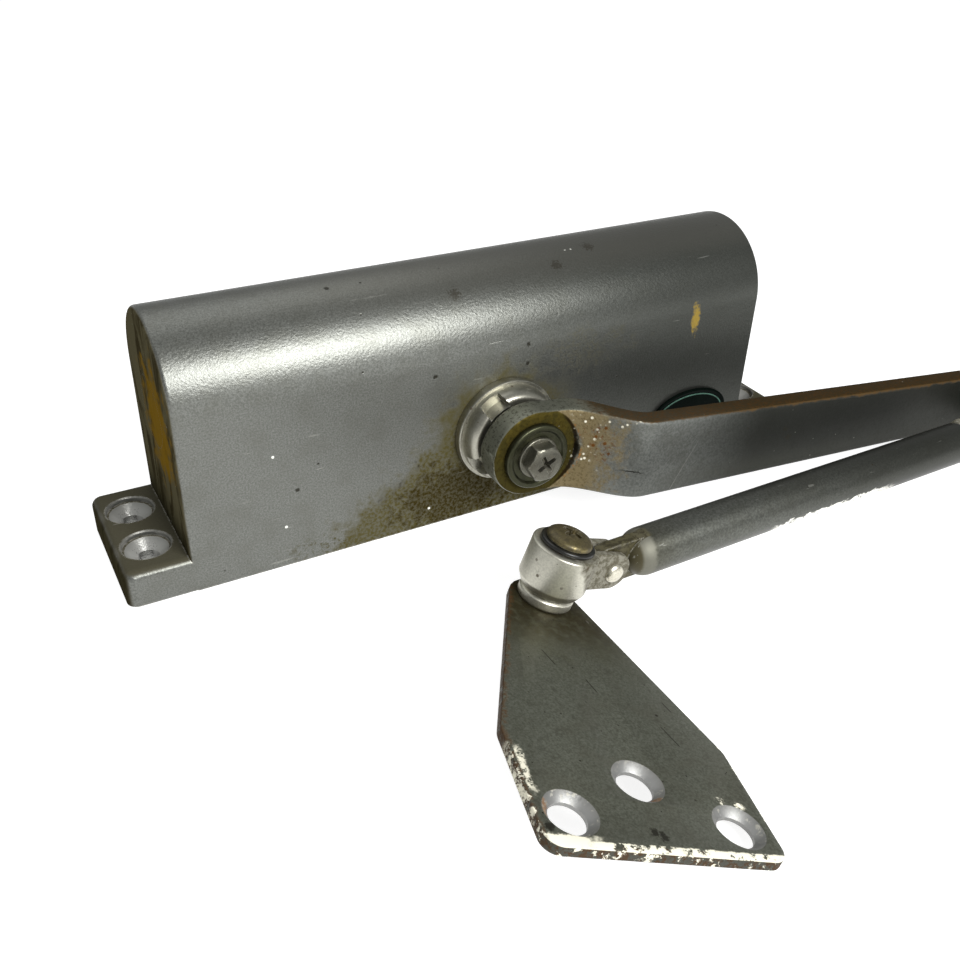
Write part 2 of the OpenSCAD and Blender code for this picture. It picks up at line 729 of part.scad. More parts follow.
module swivel_fork() color(silver) fork_frame() difference() {
    union() {
        rotate_extrude($fn = smooth) polygon([[0, drum_bottom], [drum_r - 1, drum_bottom],
            [drum_r, drum_bottom + 2], [drum_r, drum_top - 0.9], [drum_r - 0.9, drum_top],
            [0, drum_top]]);
        for (side = [-1, 1]) scale([1, side, 1]) {
            translate([6, lug_inner, rivet_height - lug_r])
                cube([rivet_reach - 6, lug_outer - lug_inner, 2 * lug_r]);
            translate([rivet_reach, 0, rivet_height]) along_y(lug_inner)
                cylinder(r = lug_r, h = lug_outer - lug_inner, $fn = smooth);
        }
    }
    translate([0, 0, -1]) cylinder(r = bush_r + slack, h = drum_top + 2, $fn = smooth);
    translate([rivet_reach, 0, rivet_height]) against_y(20)
        cylinder(r = rivet_r + slack, h = 40, $fn = smooth);
}

module pivot_bush() color(brass) shoe_frame() translate([0, 0, drum_bottom])
    ring(bush_r, elbow_pin_r + slack, drum_top - drum_bottom);

// Stud riveted flush into the plate, with the collar that the drum turns on
module pivot_stud() color(silver) shoe_frame() difference() {
    rotate_extrude($fn = smooth) polygon([[0, -plate_thickness], [5.4, -plate_thickness],
        [4, 0], [collar_r, 0], [collar_r, collar_height - 0.7],
        [collar_r - 0.7, collar_height], [elbow_pin_r, collar_height],
        [elbow_pin_r, drum_top + 0.1], [0, drum_top + 0.1]]);
    translate([0, 0, drum_top - 12]) cylinder(r = m5_r + slack, h = 20, $fn = smooth);
}

module pivot_ring() color(black_rubber) shoe_frame() translate([0, 0, drum_top + 0.15])
    ring(ring_r, m5_r + 0.3, ring_thickness);

module pivot_screw() color(brass) shoe_frame() {
    seat = drum_top + 0.15 + ring_thickness;
    translate([0, 0, seat]) dome_head(dome_r, dome_rim, dome_height);
    translate([0, 0, seat - 11]) cylinder(r = m5_r, h = 11 + eps, $fn = smooth);
}

module plate_hole(at, offset) translate([at, offset, 0]) {
    translate([0, 0, -plate_thickness - 1]) cylinder(d = plate_hole_d, h = plate_thickness + 2,
                                                     $fn = smooth);
    translate([0, 0, -plate_sink_depth]) cylinder(d1 = plate_hole_d,
        d2 = plate_sink_d + 0.2, h = plate_sink_depth + 0.1, $fn = smooth);
}

module bracket_plate() color(dark_steel) shoe_frame() rotate([0, 0, plate_azimuth])
    difference() {
        outline = rounded(
            [[plate_apex, 0], [plate_shoulder, -plate_half_width],
             [plate_length, -plate_end_half], [plate_length, plate_end_half],
             [plate_shoulder, plate_half_width]],
            [plate_nose_r, 7, 4, 4, 7]);
        translate([0, 0, -plate_thickness]) linear_extrude(plate_thickness) polygon(outline);
        plate_hole(plate_hole_at, -plate_hole_half_pitch);
        plate_hole(plate_hole_at, plate_hole_half_pitch);
        plate_hole(plate_centre_hole_at, 0);
        translate([0, 0, -plate_thickness - eps])
            cylinder(r1 = 5.45, r2 = 4.05, h = plate_thickness + 2 * eps, $fn = smooth);
    }

housing();
badge();
end_cap();
end_cap_o_ring();
spring_plug();
spring_plug_o_ring();
spring_seat();
closing_spring();
rack_piston();
piston_ring();
check_valve_seat();
check_ball();
spindle();
front_nut();
rear_nut();
front_bearing();
rear_bearing();
front_seal();
rear_seal();
rear_cap();
closing_screw();
closing_o_ring();
latch_screw();
latch_o_ring();
main_arm();
arm_washer();
arm_screw();
elbow_stud();
elbow_washer();
elbow_ring();
elbow_screw();
elbow_knuckle();
elbow_bush();
threaded_rod();
jam_nut();
forearm_tube();
fork_rivet();
swivel_fork();
pivot_bush();
pivot_stud();
pivot_ring();
pivot_screw();
bracket_plate();
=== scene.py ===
"""A worn surface-mounted door closer on a pale floor.

Each part is drawn in its own frame, in millimetres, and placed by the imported
model's joints and mounts. Local Z points out of the face that a part is seen on.
"""

import json
import math

import bmesh
import bpy
from mathutils import Matrix, Vector


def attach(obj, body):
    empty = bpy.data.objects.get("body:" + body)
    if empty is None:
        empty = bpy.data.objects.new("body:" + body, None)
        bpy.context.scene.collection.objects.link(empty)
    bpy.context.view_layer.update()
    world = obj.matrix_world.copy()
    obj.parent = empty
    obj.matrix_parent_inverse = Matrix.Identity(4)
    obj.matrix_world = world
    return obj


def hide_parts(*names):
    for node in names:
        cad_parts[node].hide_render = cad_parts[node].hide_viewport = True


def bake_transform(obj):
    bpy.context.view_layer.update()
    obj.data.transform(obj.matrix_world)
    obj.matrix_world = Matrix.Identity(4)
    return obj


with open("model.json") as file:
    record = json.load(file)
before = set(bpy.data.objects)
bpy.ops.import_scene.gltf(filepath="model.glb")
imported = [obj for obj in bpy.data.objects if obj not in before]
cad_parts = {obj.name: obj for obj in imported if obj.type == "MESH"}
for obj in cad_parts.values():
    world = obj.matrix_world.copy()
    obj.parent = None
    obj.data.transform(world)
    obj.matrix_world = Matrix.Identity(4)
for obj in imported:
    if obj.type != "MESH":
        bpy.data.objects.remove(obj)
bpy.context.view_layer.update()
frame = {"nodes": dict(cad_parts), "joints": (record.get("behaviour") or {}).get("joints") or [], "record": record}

MM = 0.001
SMOOTH_BELOW = math.radians(34)
X = Vector((1, 0, 0))
Y = Vector((0, 1, 0))
Z = Vector((0, 0, 1))

# Sizes in millimetres
HALF_LENGTH = 95
HALF_WIDTH = 22
BODY_HEIGHT = 73.5
END_EDGE = 1.3
EAR_END = 112.5
EAR_HEIGHT = 10.6
HOLE_HALF_LONG = 103.7
HOLE_HALF_SHORT = 9.5
BORE_HEIGHT = 45
NUT_FRONT = 30
BOSS_BACK = 32.1
BOSS_FRONT = 39.8
BAR_BACK = 46.4
BAR_FRONT = 53.4
BOSS_R = 13.3
EYE_R = 9
KNUCKLE_FRONT = 77.6
DRUM_BOTTOM = 3.7
DRUM_TOP = 16.3
DRUM_R = 9.1
COLLAR_R = 7.5
TUBE_R = 6.7
TUBE_LENGTH = 146
PLATE_THICKNESS = 2.6
PLATE_HOLES = ((76.5, -19.6), (76.5, 19.6), (65.9, 0))
PLATE_SHOULDER = 53.8
PLATE_LONG = 85.4
FIXING_R = 3.25
VALVE_OUT = 9.5
VALVE_HEIGHT = 17.5
CAP_BORE_R = 18.05
PLUG_BORE_R = 10.05
CYLINDER_R = 17
CAP_SEAT = 83.4
PLUG_SEAT = -87.4
SEAL_R = 7.3
SEAL_HEIGHT = 1.2
NOTCHES = (31, 121, 211, 301)


# ---- frames --------------------------------------------------------------

def joint(name):
    """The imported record's joint of that name."""
    return next(j for j in frame["joints"] if j["name"] == name)


def mount_place(name):
    """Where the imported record's mount of that name is, in metres."""
    return Vector(next(m for m in frame["record"]["mounts"] if m["name"] == name)["pos_m"])


def local_frame(origin, x, z):
    """The matrix from a part's own millimetres to the row frame; x is squared up against z."""
    z = z.normalized()
    x = (x - z * x.dot(z)).normalized()
    axes = Matrix((x, z.cross(x), z)).transposed().to_4x4()
    return Matrix.Translation(origin) @ axes @ Matrix.Scale(MM, 4)


spindle_at = Vector(joint("spindle_turn")["pos_m"])
elbow_at = Vector(joint("elbow_turn")["pos_m"])
rivet_at = Vector(joint("shoe_tilt")["pos_m"])
pivot_at = Vector(joint("shoe_turn")["pos_m"])
pivot_axis = Vector(joint("shoe_turn")["axis"])
rivet_axis = Vector(joint("shoe_tilt")["axis"])
tube_axis = -Vector(joint("forearm_length")["axis"])
spindle_centre = Vector((spindle_at.x, 0, spindle_at.z))
elbow_centre = Vector((elbow_at.x, 0, elbow_at.z))

BODY = Matrix.Scale(MM, 4)
FRONT = local_frame(spindle_centre, X, -Y)
BACK = local_frame(spindle_centre, X, Y)
ARM = local_frame(spindle_centre, elbow_centre - spindle_centre, -Y)
ELBOW = local_frame(elbow_centre, X, -Y)
FORK = local_frame(pivot_at, rivet_at - pivot_at, pivot_axis)
PLATE = local_frame(pivot_at, mount_place("plate_hole_middle") - pivot_at, pivot_axis)
TUBE = local_frame(rivet_at, rivet_axis, tube_axis)
RIVET = local_frame(rivet_at, tube_axis, -rivet_axis)
ARM_REACH = (elbow_centre - spindle_centre).length / MM
ROD_REACH = (elbow_at - rivet_at).length / MM
to_fork = FORK.inverted() @ rivet_at
RIVET_REACH = to_fork.x
RIVET_HEIGHT = to_fork.z


# ---- outlines ------------------------------------------------------------

def rounded(points, radii, steps=6):
    """A closed outline with each corner rounded to its own radius; 0 keeps it sharp."""
    outline = []
    count = len(points)
    for i in range(count):
        before = Vector(points[i - 1])
        here = Vector(points[i])
        after = Vector(points[(i + 1) % count])
        if radii[i] == 0:
            outline.append(tuple(here))
            continue
        u = (before - here).normalized()
        v = (after - here).normalized()
        half = math.acos(max(-1, min(1, u.dot(v)))) / 2
        centre = here + (u + v).normalized() * radii[i] / math.sin(half)
        start = here + u * radii[i] / math.tan(half) - centre
        end = here + v * radii[i] / math.tan(half) - centre
        swing = math.atan2(start.x * end.y - start.y * end.x, start.dot(end))
        for k in range(steps + 1):
            turn = Matrix.Rotation(swing * k / steps, 2)
            outline.append(tuple(centre + turn @ start))
    return outline


def inset(outline, distance):
    """The outline, drawn anticlockwise, moved inwards."""
    moved = []
    count = len(outline)
    for i in range(count):
        before = Vector(outline[i]) - Vector(outline[i - 1])
        after = Vector(outline[(i + 1) % count]) - Vector(outline[i])
        way = before.normalized() + after.normalized()
        normal = Vector((-way.y, way.x)).normalized()
        stretch = max(0.7, normal.dot(Vector((-after.y, after.x)).normalized()))
        moved.append(tuple(Vector(outline[i]) + normal * distance / stretch))
    return moved


def smoothstep(low, high, value):
    """0 at low and 1 at high, smoothly between; low may be the larger."""
    t = max(0.0, min(1.0, (value - low) / (high - low)))
    return t * t * (3 - 2 * t)


# ---- meshes --------------------------------------------------------------

def add_rings(bm, rings, loop=False):
    """Joins closed rings of points into a skin; a loop joins its last ring to its first."""
    rows = [[bm.verts.new(p) for p in ring] for ring in rings]
    pairs = list(zip(rows, rows[1:]))
    if loop:
        pairs.append((rows[-1], rows[0]))
    for a, b in pairs:
        for i in range(len(a)):
            j = (i + 1) % len(a)
            bm.faces.new((a[i], a[j], b[j], b[i]))
    if not loop:
        bm.faces.new(list(reversed(rows[0])))
        bm.faces.new(rows[-1])
    return bm


def slab(outline, low, high, edge=0.4, steps=4):
    """An outline stood up from low to high, with its edges rounded."""
    rings = []
    turns = [math.pi / 2 * k / steps for k in range(steps + 1)]
    for t in turns:
        shrunk = inset(outline, edge * (1 - math.sin(t)))
        rings.append([(x, y, low + edge * (1 - math.cos(t))) for x, y in shrunk])
    for t in reversed(turns):
        shrunk = inset(outline, edge * (1 - math.sin(t)))
        rings.append([(x, y, high - edge * (1 - math.cos(t))) for x, y in shrunk])
    return add_rings(bmesh.new(), rings)


def turned(points, radii=None, steps=96):
    """A turned solid from its (radius, height) outline.

    The outline starts and ends on the axis, or is the closed section of a ring.
    """
    solid = points[0][0] == 0
    outline = rounded(points, radii or [0] * len(points), 4)
    outline = [p for p in outline if p[0] > 1e-6]
    angles = [math.tau * i / steps for i in range(steps)]
    rings = [[(r * math.cos(a), r * math.sin(a), z) for a in angles] for r, z in outline]
    return add_rings(bmesh.new(), rings, loop=not solid)


def piece(name, bm, matrix, body, slot, material, *nodes):
    """Turns a mesh into a piece that rides on a body, if one is given, and stands for the CAD nodes."""
    bm.transform(matrix)
    bmesh.ops.remove_doubles(bm, verts=bm.verts, dist=1e-7)
    bmesh.ops.recalc_face_normals(bm, faces=bm.faces)
    for face in bm.faces:
        face.smooth = True
    for edge in bm.edges:
        edge.smooth = edge.is_manifold and edge.calc_face_angle(0) < SMOOTH_BELOW
    mesh = bpy.data.meshes.new(name)
    bm.to_mesh(mesh)
    bm.free()
    mesh.materials.append(material)
    obj = bpy.data.objects.new(name, mesh)
    bpy.context.scene.collection.objects.link(obj)
    if body:
        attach(obj, body)
    if nodes:
        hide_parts(*nodes)
    return obj


def merged(bm, other, operation):
    """bm joined with other, or with other cut from it."""
    objects = []
    for source in (bm, other):
        bmesh.ops.remove_doubles(source, verts=source.verts, dist=1e-5)
        bmesh.ops.recalc_face_normals(source, faces=source.faces)
        mesh = bpy.data.meshes.new("work")
        source.to_mesh(mesh)
        source.free()
        objects.append(bpy.data.objects.new("work", mesh))
        bpy.context.scene.collection.objects.link(objects[-1])
    change = objects[0].modifiers.new("change", "BOOLEAN")
    change.object = objects[1]
    change.operation = operation
    change.solver = "EXACT"
    shaped = objects[0].evaluated_get(bpy.context.evaluated_depsgraph_get()).to_mesh()
    result = bmesh.new()
    result.from_mesh(shaped)
    for obj in objects:
        mesh = obj.data
        bpy.data.objects.remove(obj)
        bpy.data.meshes.remove(mesh)
    return result


def cut(bm, *cutters):
    """bm with each cutter taken from it."""
    for cutter in cutters:
        bm = merged(bm, cutter, "DIFFERENCE")
    return bm


def moved(bm, matrix):
    """bm, transformed where it stands."""
    bm.transform(matrix)
    return bm


def along_x(x, y=0, z=0):
    """Lays a part drawn up Z along +X from a point."""
    return Matrix.Translation((x, y, z)) @ Matrix.Rotation(math.pi / 2, 4, "Y")


def cross_cutter(top, reach, width, depth, turn=0):
    """A tapered cross that cuts a recess down from height top."""
    h = width / 2
    arm = [(reach, -h), (reach, h), (h, h), (h, reach), (-h, reach), (-h, h), (-reach, h),
           (-reach, -h), (-h, -h), (-h, -reach), (h, -reach), (h, -h)]
    rings = [[(x * s, y * s, z) for x, y in arm]
             for s, z in ((0.55, top - depth), (1, top), (1.1, top + 1))]
    return moved(add_rings(bmesh.new(), rings), Matrix.Rotation(turn, 4, "Z"))


# ---- shaders -------------------------------------------------------------

class Value:
    """A number that the shader works out, which sums and products can be taken of."""

    def __init__(self, shader, socket):
        self.shader = shader
        self.socket = socket

    def __add__(self, other):
        return self.shader.math("ADD", self, other)

    def __sub__(self, other):
        return self.shader.math("SUBTRACT", self, other)

    def __rsub__(self, other):
        return self.shader.math("SUBTRACT", other, self)

    def __mul__(self, other):
        return self.shader.math("MULTIPLY", self, other)

    def __abs__(self):
        return self.shader.math("ABSOLUTE", self)

    __radd__ = __add__
    __rmul__ = __mul__


class Shader:
    """A procedural material. Places are in the row frame's millimetres."""

    def __init__(self, name, metallic=0.0, specular=0.5):
        self.material = bpy.data.materials.new(name)
        self.material.use_nodes = True
        self.nodes = self.material.node_tree.nodes
        self.links = self.material.node_tree.links
        self.surface = self.nodes["Principled BSDF"]
        self.surface.inputs["Metallic"].default_value = metallic
        self.surface.inputs["Specular IOR Level"].default_value = specular
        place = self.nodes.new("ShaderNodeTexCoord").outputs["Object"]
        scaled = self.nodes.new("ShaderNodeVectorMath")
        scaled.operation = "SCALE"
        scaled.inputs["Scale"].default_value = 1 / MM
        self.links.new(place, scaled.inputs[0])
        self.place = scaled.outputs[0]

    def feed(self, socket, value):
        """Gives an input a link, a colour or a number."""
        if isinstance(value, Value):
            self.links.new(value.socket, socket)
        elif socket.type == "RGBA":
            socket.default_value = (*value, 1)
        else:
            socket.default_value = value

    def noise(self, size, detail=3, rough=0.55, twist=0.0, place=None):
        """Cloudy noise from 0 to 1, with features about size millimetres across."""
        n = self.nodes.new("ShaderNodeTexNoise")
        n.inputs["Scale"].default_value = 1 / size
        n.inputs["Detail"].default_value = detail
        n.inputs["Roughness"].default_value = rough
        n.inputs["Distortion"].default_value = twist
        self.links.new(place or self.place, n.inputs["Vector"])
        return Value(self, n.outputs["Fac"])

    def spots(self, size, radius, seed=0.0):
        """1 inside scattered round spots of a radius, as a share of their spacing, else 0."""
        v = self.nodes.new("ShaderNodeTexVoronoi")
        v.inputs["Scale"].default_value = 1 / size
        self.links.new(self.shift((seed, seed * 0.7, -seed)), v.inputs["Vector"])
        return self.ramp(Value(self, v.outputs["Distance"]), radius, radius * 0.5)

    def shift(self, by, scale=(1, 1, 1)):
        """The place, scaled and then moved."""
        m = self.nodes.new("ShaderNodeMapping")
        m.inputs["Location"].default_value = by
        m.inputs["Scale"].default_value = scale
        self.links.new(self.place, m.inputs["Vector"])
        return m.outputs["Vector"]

    def ramp(self, value, low, high):
        """0 at low and 1 at high, smoothly between; low may be the larger."""
        r = self.nodes.new("ShaderNodeMapRange")
        r.interpolation_type = "SMOOTHSTEP"
        flip = low > high
        self.feed(r.inputs["Value"], value)
        r.inputs["From Min"].default_value = min(low, high)
        r.inputs["From Max"].default_value = max(low, high)
        r.inputs["To Min"].default_value = 1 if flip else 0
        r.inputs["To Max"].default_value = 0 if flip else 1
        return Value(self, r.outputs["Result"])

    def math(self, operation, a, b=0.0):
        """One step of arithmetic on sockets or numbers."""
        m = self.nodes.new("ShaderNodeMath")
        m.operation = operation
        self.feed(m.inputs[0], a)
        self.feed(m.inputs[1], b)
        return Value(self, m.outputs[0])

    def most(self, *values):
        result = values[0]
        for value in values[1:]:
            result = self.math("MAXIMUM", result, value)
        return result

    def positive(self, value):
        """The value, or 0 if that is more."""
        return self.math("MAXIMUM", value, 0.0)

    def patches(self, low, high, size, detail=4, rough=0.7):
        """Scattered patches: noise that is cut off below low and full above high."""
        return self.ramp(self.noise(size, detail, rough), low, high)

    def mix(self, share, a, b):
        """Colour a, and b where the share is 1."""
        m = self.nodes.new("ShaderNodeMix")
        m.data_type = "RGBA"
        self.feed(m.inputs[0], share)
        self.feed(m.inputs[6], a)
        self.feed(m.inputs[7], b)
        return Value(self, m.outputs[2])

    def layers(self, base, *layers):
        """Colours laid over base, each with its own share."""
        for share, colour in layers:
            base = self.mix(share, base, colour)
        return base

    def axis(self, index):
        """One coordinate of the place: 0 for X, 1 for Y, 2 for Z."""
        s = self.nodes.new("ShaderNodeSeparateXYZ")
        self.links.new(self.place, s.inputs[0])
        return Value(self, s.outputs[index])

    def facing(self, way):
        """How far the surface faces a fixed direction, from -1 to 1."""
        normal = self.nodes.new("ShaderNodeTexCoord").outputs["Normal"]
        d = self.nodes.new("ShaderNodeVectorMath")
        d.operation = "DOT_PRODUCT"
        self.links.new(normal, d.inputs[0])
        d.inputs[1].default_value = way
        return Value(self, d.outputs["Value"])

    def near(self, centre, radii, ragged=0.35, grain=5.0):
        """1 at a place, fading to 0 at the radii around it, with a ragged edge."""
        scale = tuple(1 / r for r in radii)
        by = tuple(-c / r for c, r in zip(centre, radii))
        v = self.nodes.new("ShaderNodeVectorMath")
        v.operation = "LENGTH"
        self.links.new(self.shift(by, scale), v.inputs[0])
        torn = self.noise(grain, 4, 0.65) - 0.5
        return self.ramp(Value(self, v.outputs["Value"]) + torn * (ragged * 4), 1.0, 0.45)

    def measured(self, way, origin):
        """How far a place lies from an origin, in millimetres, along a direction."""
        d = self.nodes.new("ShaderNodeVectorMath")
        d.operation = "DOT_PRODUCT"
        self.links.new(self.place, d.inputs[0])
        d.inputs[1].default_value = way
        return Value(self, d.outputs["Value"]) - Vector(origin).dot(Vector(way))

    def marks(self, places, radius, ragged=0.3, grain=1.2):
        """Small ragged marks of one size at the places."""
        return self.most(*(self.near(p, (radius,) * 3, ragged, grain) for p in places))

    def edges(self, width, grain=1.5):
        """1 along worn convex edges, from the pointiness of the mesh's own bevels."""
        bevel = self.nodes.new("ShaderNodeBevel")
        bevel.samples = 4
        bevel.inputs["Radius"].default_value = width * MM
        geometry = self.nodes.new("ShaderNodeNewGeometry")
        d = self.nodes.new("ShaderNodeVectorMath")
        d.operation = "DOT_PRODUCT"
        self.links.new(bevel.outputs[0], d.inputs[0])
        self.links.new(geometry.outputs["Normal"], d.inputs[1])
        return self.ramp(Value(self, d.outputs["Value"]), 0.995, 0.93) * self.patches(0.38, 0.56, grain)

    def finish(self, colour, roughness, bump=None, strength=0.2, depth=0.1, metallic=None, specular=None):
        """Connects the surface; depth is the bump's height in millimetres."""
        self.feed(self.surface.inputs["Base Color"], colour)
        self.feed(self.surface.inputs["Roughness"], roughness)
        if metallic is not None:
            self.feed(self.surface.inputs["Metallic"], metallic)
        if specular is not None:
            self.feed(self.surface.inputs["Specular IOR Level"], specular)
        if bump is not None:
            b = self.nodes.new("ShaderNodeBump")
            b.inputs["Strength"].default_value = strength
            b.inputs["Distance"].default_value = depth * MM
            self.feed(b.inputs["Height"], bump)
            self.links.new(b.outputs["Normal"], self.surface.inputs["Normal"])
        return self.material


OIL = (0.026, 0.019, 0.004)
OLIVE = (0.054, 0.044, 0.007)
OCHRE = (0.15, 0.085, 0.006)
CREAM = (0.72, 0.69, 0.56)
BRIGHT_WEAR = (0.55, 0.54, 0.50)


def body_paint():
    """Silver paint over a casting, oily round the spindle with painted shade at the nut's foot, stained on its
    ends and darkened there with painted shade, darker towards the right with painted shade, and worn at its edges.
    """
    s = Shader("body_paint", specular=0.15)
    flake = s.noise(0.5, 2, 0.8)
    mottle = s.noise(8, 4, 0.6)
    x, z = s.axis(0), s.axis(2)
    base = s.mix(s.ramp(flake, 0.3, 0.7), (0.118, 0.121, 0.109), (0.196, 0.201, 0.186))
    base = s.mix(s.ramp(mottle, 0.42, 0.7) * 0.3, base, (0.115, 0.116, 0.098))
    # Painted shade: the paint darkens towards the right end, standing in for light that falls off there
    base = s.mix(s.ramp(x, -40, 70) * 0.74, base, (0.045, 0.048, 0.042))
    base = s.mix(s.ramp(z, 66, 72) * s.ramp(x, -90, -10) * 0.6, base, (0.150, 0.147, 0.128))
    front = s.ramp(s.facing((0, -1, 0)), 0.3, 0.8)
    top = s.ramp(s.facing((0, 0, 1)), 0.5, 0.9)
    ends = s.ramp(abs(s.facing((1, 0, 0))), 0.5, 0.9)
    sx, sz = spindle_at.x / MM, spindle_at.z / MM
    # The stain's upper edge slopes down to the left from beside the spindle
    below = s.measured(Vector((0.64, 0, -0.77)), Vector((-16, 0, 40)))
    torn = (s.noise(6, 5, 0.72) - 0.5) * 30
    wedge = s.ramp(below + torn, -1, 8) * s.ramp(x, 30, 12) * s.ramp(z + torn * 0.4, 44, 34)
    ring = s.near((sx - 3, -22, sz + 1), (27, 14, 24), 0.3, 4)
    haze = s.near((sx + 26, -22, 46), (22, 14, 10), 0.7, 4)
    speck = s.patches(0.43, 0.58, 1.0, 4, 0.78)
    stain = front * s.most(ring * (0.75 + speck * 0.25), wedge * (0.6 + speck * 0.4), haze * speck * 0.4)
    dark = front * s.near((sx - 16, -22, 9), (24, 12, 14), 0.55, 3) * (0.45 + speck * 0.5)
    # Painted shade: a dark ring painted on the body round the foot of the nut
    nut_foot_shade = front * s.near((sx, -22, sz), (18.5, 9, 18.5), 0.1, 3)
    drip = s.near((69.5, -22, 49.5), (1.9, 10, 6.5), 0.5, 1.5)
    dots = s.marks(((8, -22, 47), (8, -22, 53), (-46, -5, 73), (-22, -22, 49), (-64, -22, 24)), 0.9)
    foot = (front * s.ramp(z + torn * 0.4, 10, 3) * s.ramp(x + torn, -78, -52)
            * s.patches(0.5, 0.6, 1.4, 5, 0.8))
    bruises = s.marks(((-12, -14, 69), (23, -11, 71), (37, -6, 73)), 2.2, 0.9, 0.7)
    drops = s.marks(((-70, -22, 36), (-68, -22, 13), (29, -6, 73), (31, -6, 73), (-24, -22, 6)),
                    0.55, 0.2)
    streak = s.noise(6, 5, 0.65, 1.4, s.shift((0, 0, 0), (1, 0.8, 0.2)))
    end_streak = ends * s.ramp(streak, 0.44, 0.62)
    end_ochre = ends * s.near((-HALF_LENGTH, -6, 44), (12, 15, 20), 0.5, 6)
    end_foot = ends * s.ramp(z + mottle * 14, 30, 16)
    ears = top * s.ramp(z, 13, 11.5)
    sinks = s.near((-HOLE_HALF_LONG, HOLE_HALF_SHORT, 8), (9, 9, 9), 0, 3)
    for end, side in ((-1, -1), (1, -1), (1, 1)):
        sinks = s.most(sinks, s.near((end * HOLE_HALF_LONG, side * HOLE_HALF_SHORT, 8), (9, 9, 9), 0, 3))
    sinks = sinks * s.ramp(s.facing((0, 0, 1)), 0.97, 0.85) * s.ramp(z, 13, 11)
    pits = s.spots(7, 0.07, 3.0) * s.ramp(s.noise(25, 2), 0.45, 0.6)
    scratch = s.ramp(s.noise(2.4, 2, 0.4, 0.0, s.shift((4, 9, 2), (0.16, 1.0, 2.1))), 0.745, 0.775)
    chips = s.edges(0.7) * (1 - ends * 0.9)
    colour = s.layers(
        base,
        (ears * 0.9, (0.062, 0.056, 0.034)),
        # The end faces are painted dark: partly olive dirt, partly painted shade where they turn away from the
        # lamps
        (ends * 0.97, (0.072, 0.063, 0.034)),
        (end_streak * 0.75, (0.014, 0.010, 0.003)),
        (end_ochre * 0.85, OCHRE),
        (end_foot * 0.7, (0.020, 0.018, 0.009)),
        (s.most(stain, foot) * 0.92, OLIVE),
        (dark, OIL),
        (nut_foot_shade * 0.6, (0.030, 0.024, 0.008)),
        (drip * 0.9, (0.26, 0.18, 0.035)),
        (bruises * 0.5, (0.035, 0.025, 0.012)),
        (chips * 0.8, (0.38, 0.37, 0.33)),
        (sinks * 0.9, (0.42, 0.42, 0.40)),
        (s.most(pits, dots) * 0.85, (0.020, 0.018, 0.012)),
        (scratch * 0.25, (0.42, 0.42, 0.38)),
        (drops, (0.85, 0.85, 0.78)))
    dull = s.most(ears, ends, stain * 1.1, drip, drops)
    rough = 0.34 + flake * 0.1 + dull * 0.06 + ends * 0.15 - sinks * 0.14
    bump = (s.noise(0.75, 2, 0.7) * 1.3 + s.noise(2.2, 3, 0.6) * 0.7 + stain * s.noise(0.7, 2) * 0.6
            - pits * 1.6 - dots * 1.6 - scratch * 0.5 - chips * 0.5)
    metal = s.positive(0.85 - dull * 0.7 - ends * 0.4)
    gloss = s.positive(0.15 * (1 - s.most(dull, ends)))
    return s.finish(colour, rough, bump, 0.85, 0.07, metal, gloss)


def nickel(name, tint, dirt, rough_base=0.24, beyond=None, soil=(0.082, 0.070, 0.032)):
    """Satin nickel on turned steel, with brown dirt in its pits.

    beyond is (direction, origin, near, far), past which dirt covers the metal.
    """
    s = Shader(name, specular=0.15)
    brushed = s.noise(0.5, 3, 0.6)
    cloud = s.noise(5, 4, 0.6, 0.3)
    pits = s.most(s.spots(2.2, 0.1, 2.0), s.spots(4.5, 0.13, 7.0) * s.ramp(cloud, 0.4, 0.6))
    film = cloud * 0.7 + s.noise(1.2, 4, 0.7) * 0.5
    grime = s.ramp(film, 0.74 - 0.16 * dirt, 1.0 - 0.16 * dirt)
    if beyond:
        way, origin, low, high = beyond
        zone = s.ramp(s.measured(way, origin) + cloud * 3, low, high)
        grime = s.most(grime, zone * (0.72 + s.patches(0.4, 0.6, 1.4) * 0.28))
    worn = s.edges(0.3, 0.8)
    base = s.mix(s.ramp(brushed, 0.3, 0.7), tuple(0.8 * c for c in tint), tint)
    colour = s.layers(base, (grime * 0.9, soil), (worn * 0.4, BRIGHT_WEAR),
                      (pits * 0.8, (0.045, 0.030, 0.012)))
    rough = rough_base + brushed * 0.12 + grime * 0.16
    metal = s.positive(0.98 - grime * 0.8 - pits * 0.4)
    bump = brushed * 0.3 - pits * 1.0 + grime * s.noise(0.5, 2) * 0.5
    return s.finish(colour, rough, bump, 0.35, 0.05, metal)


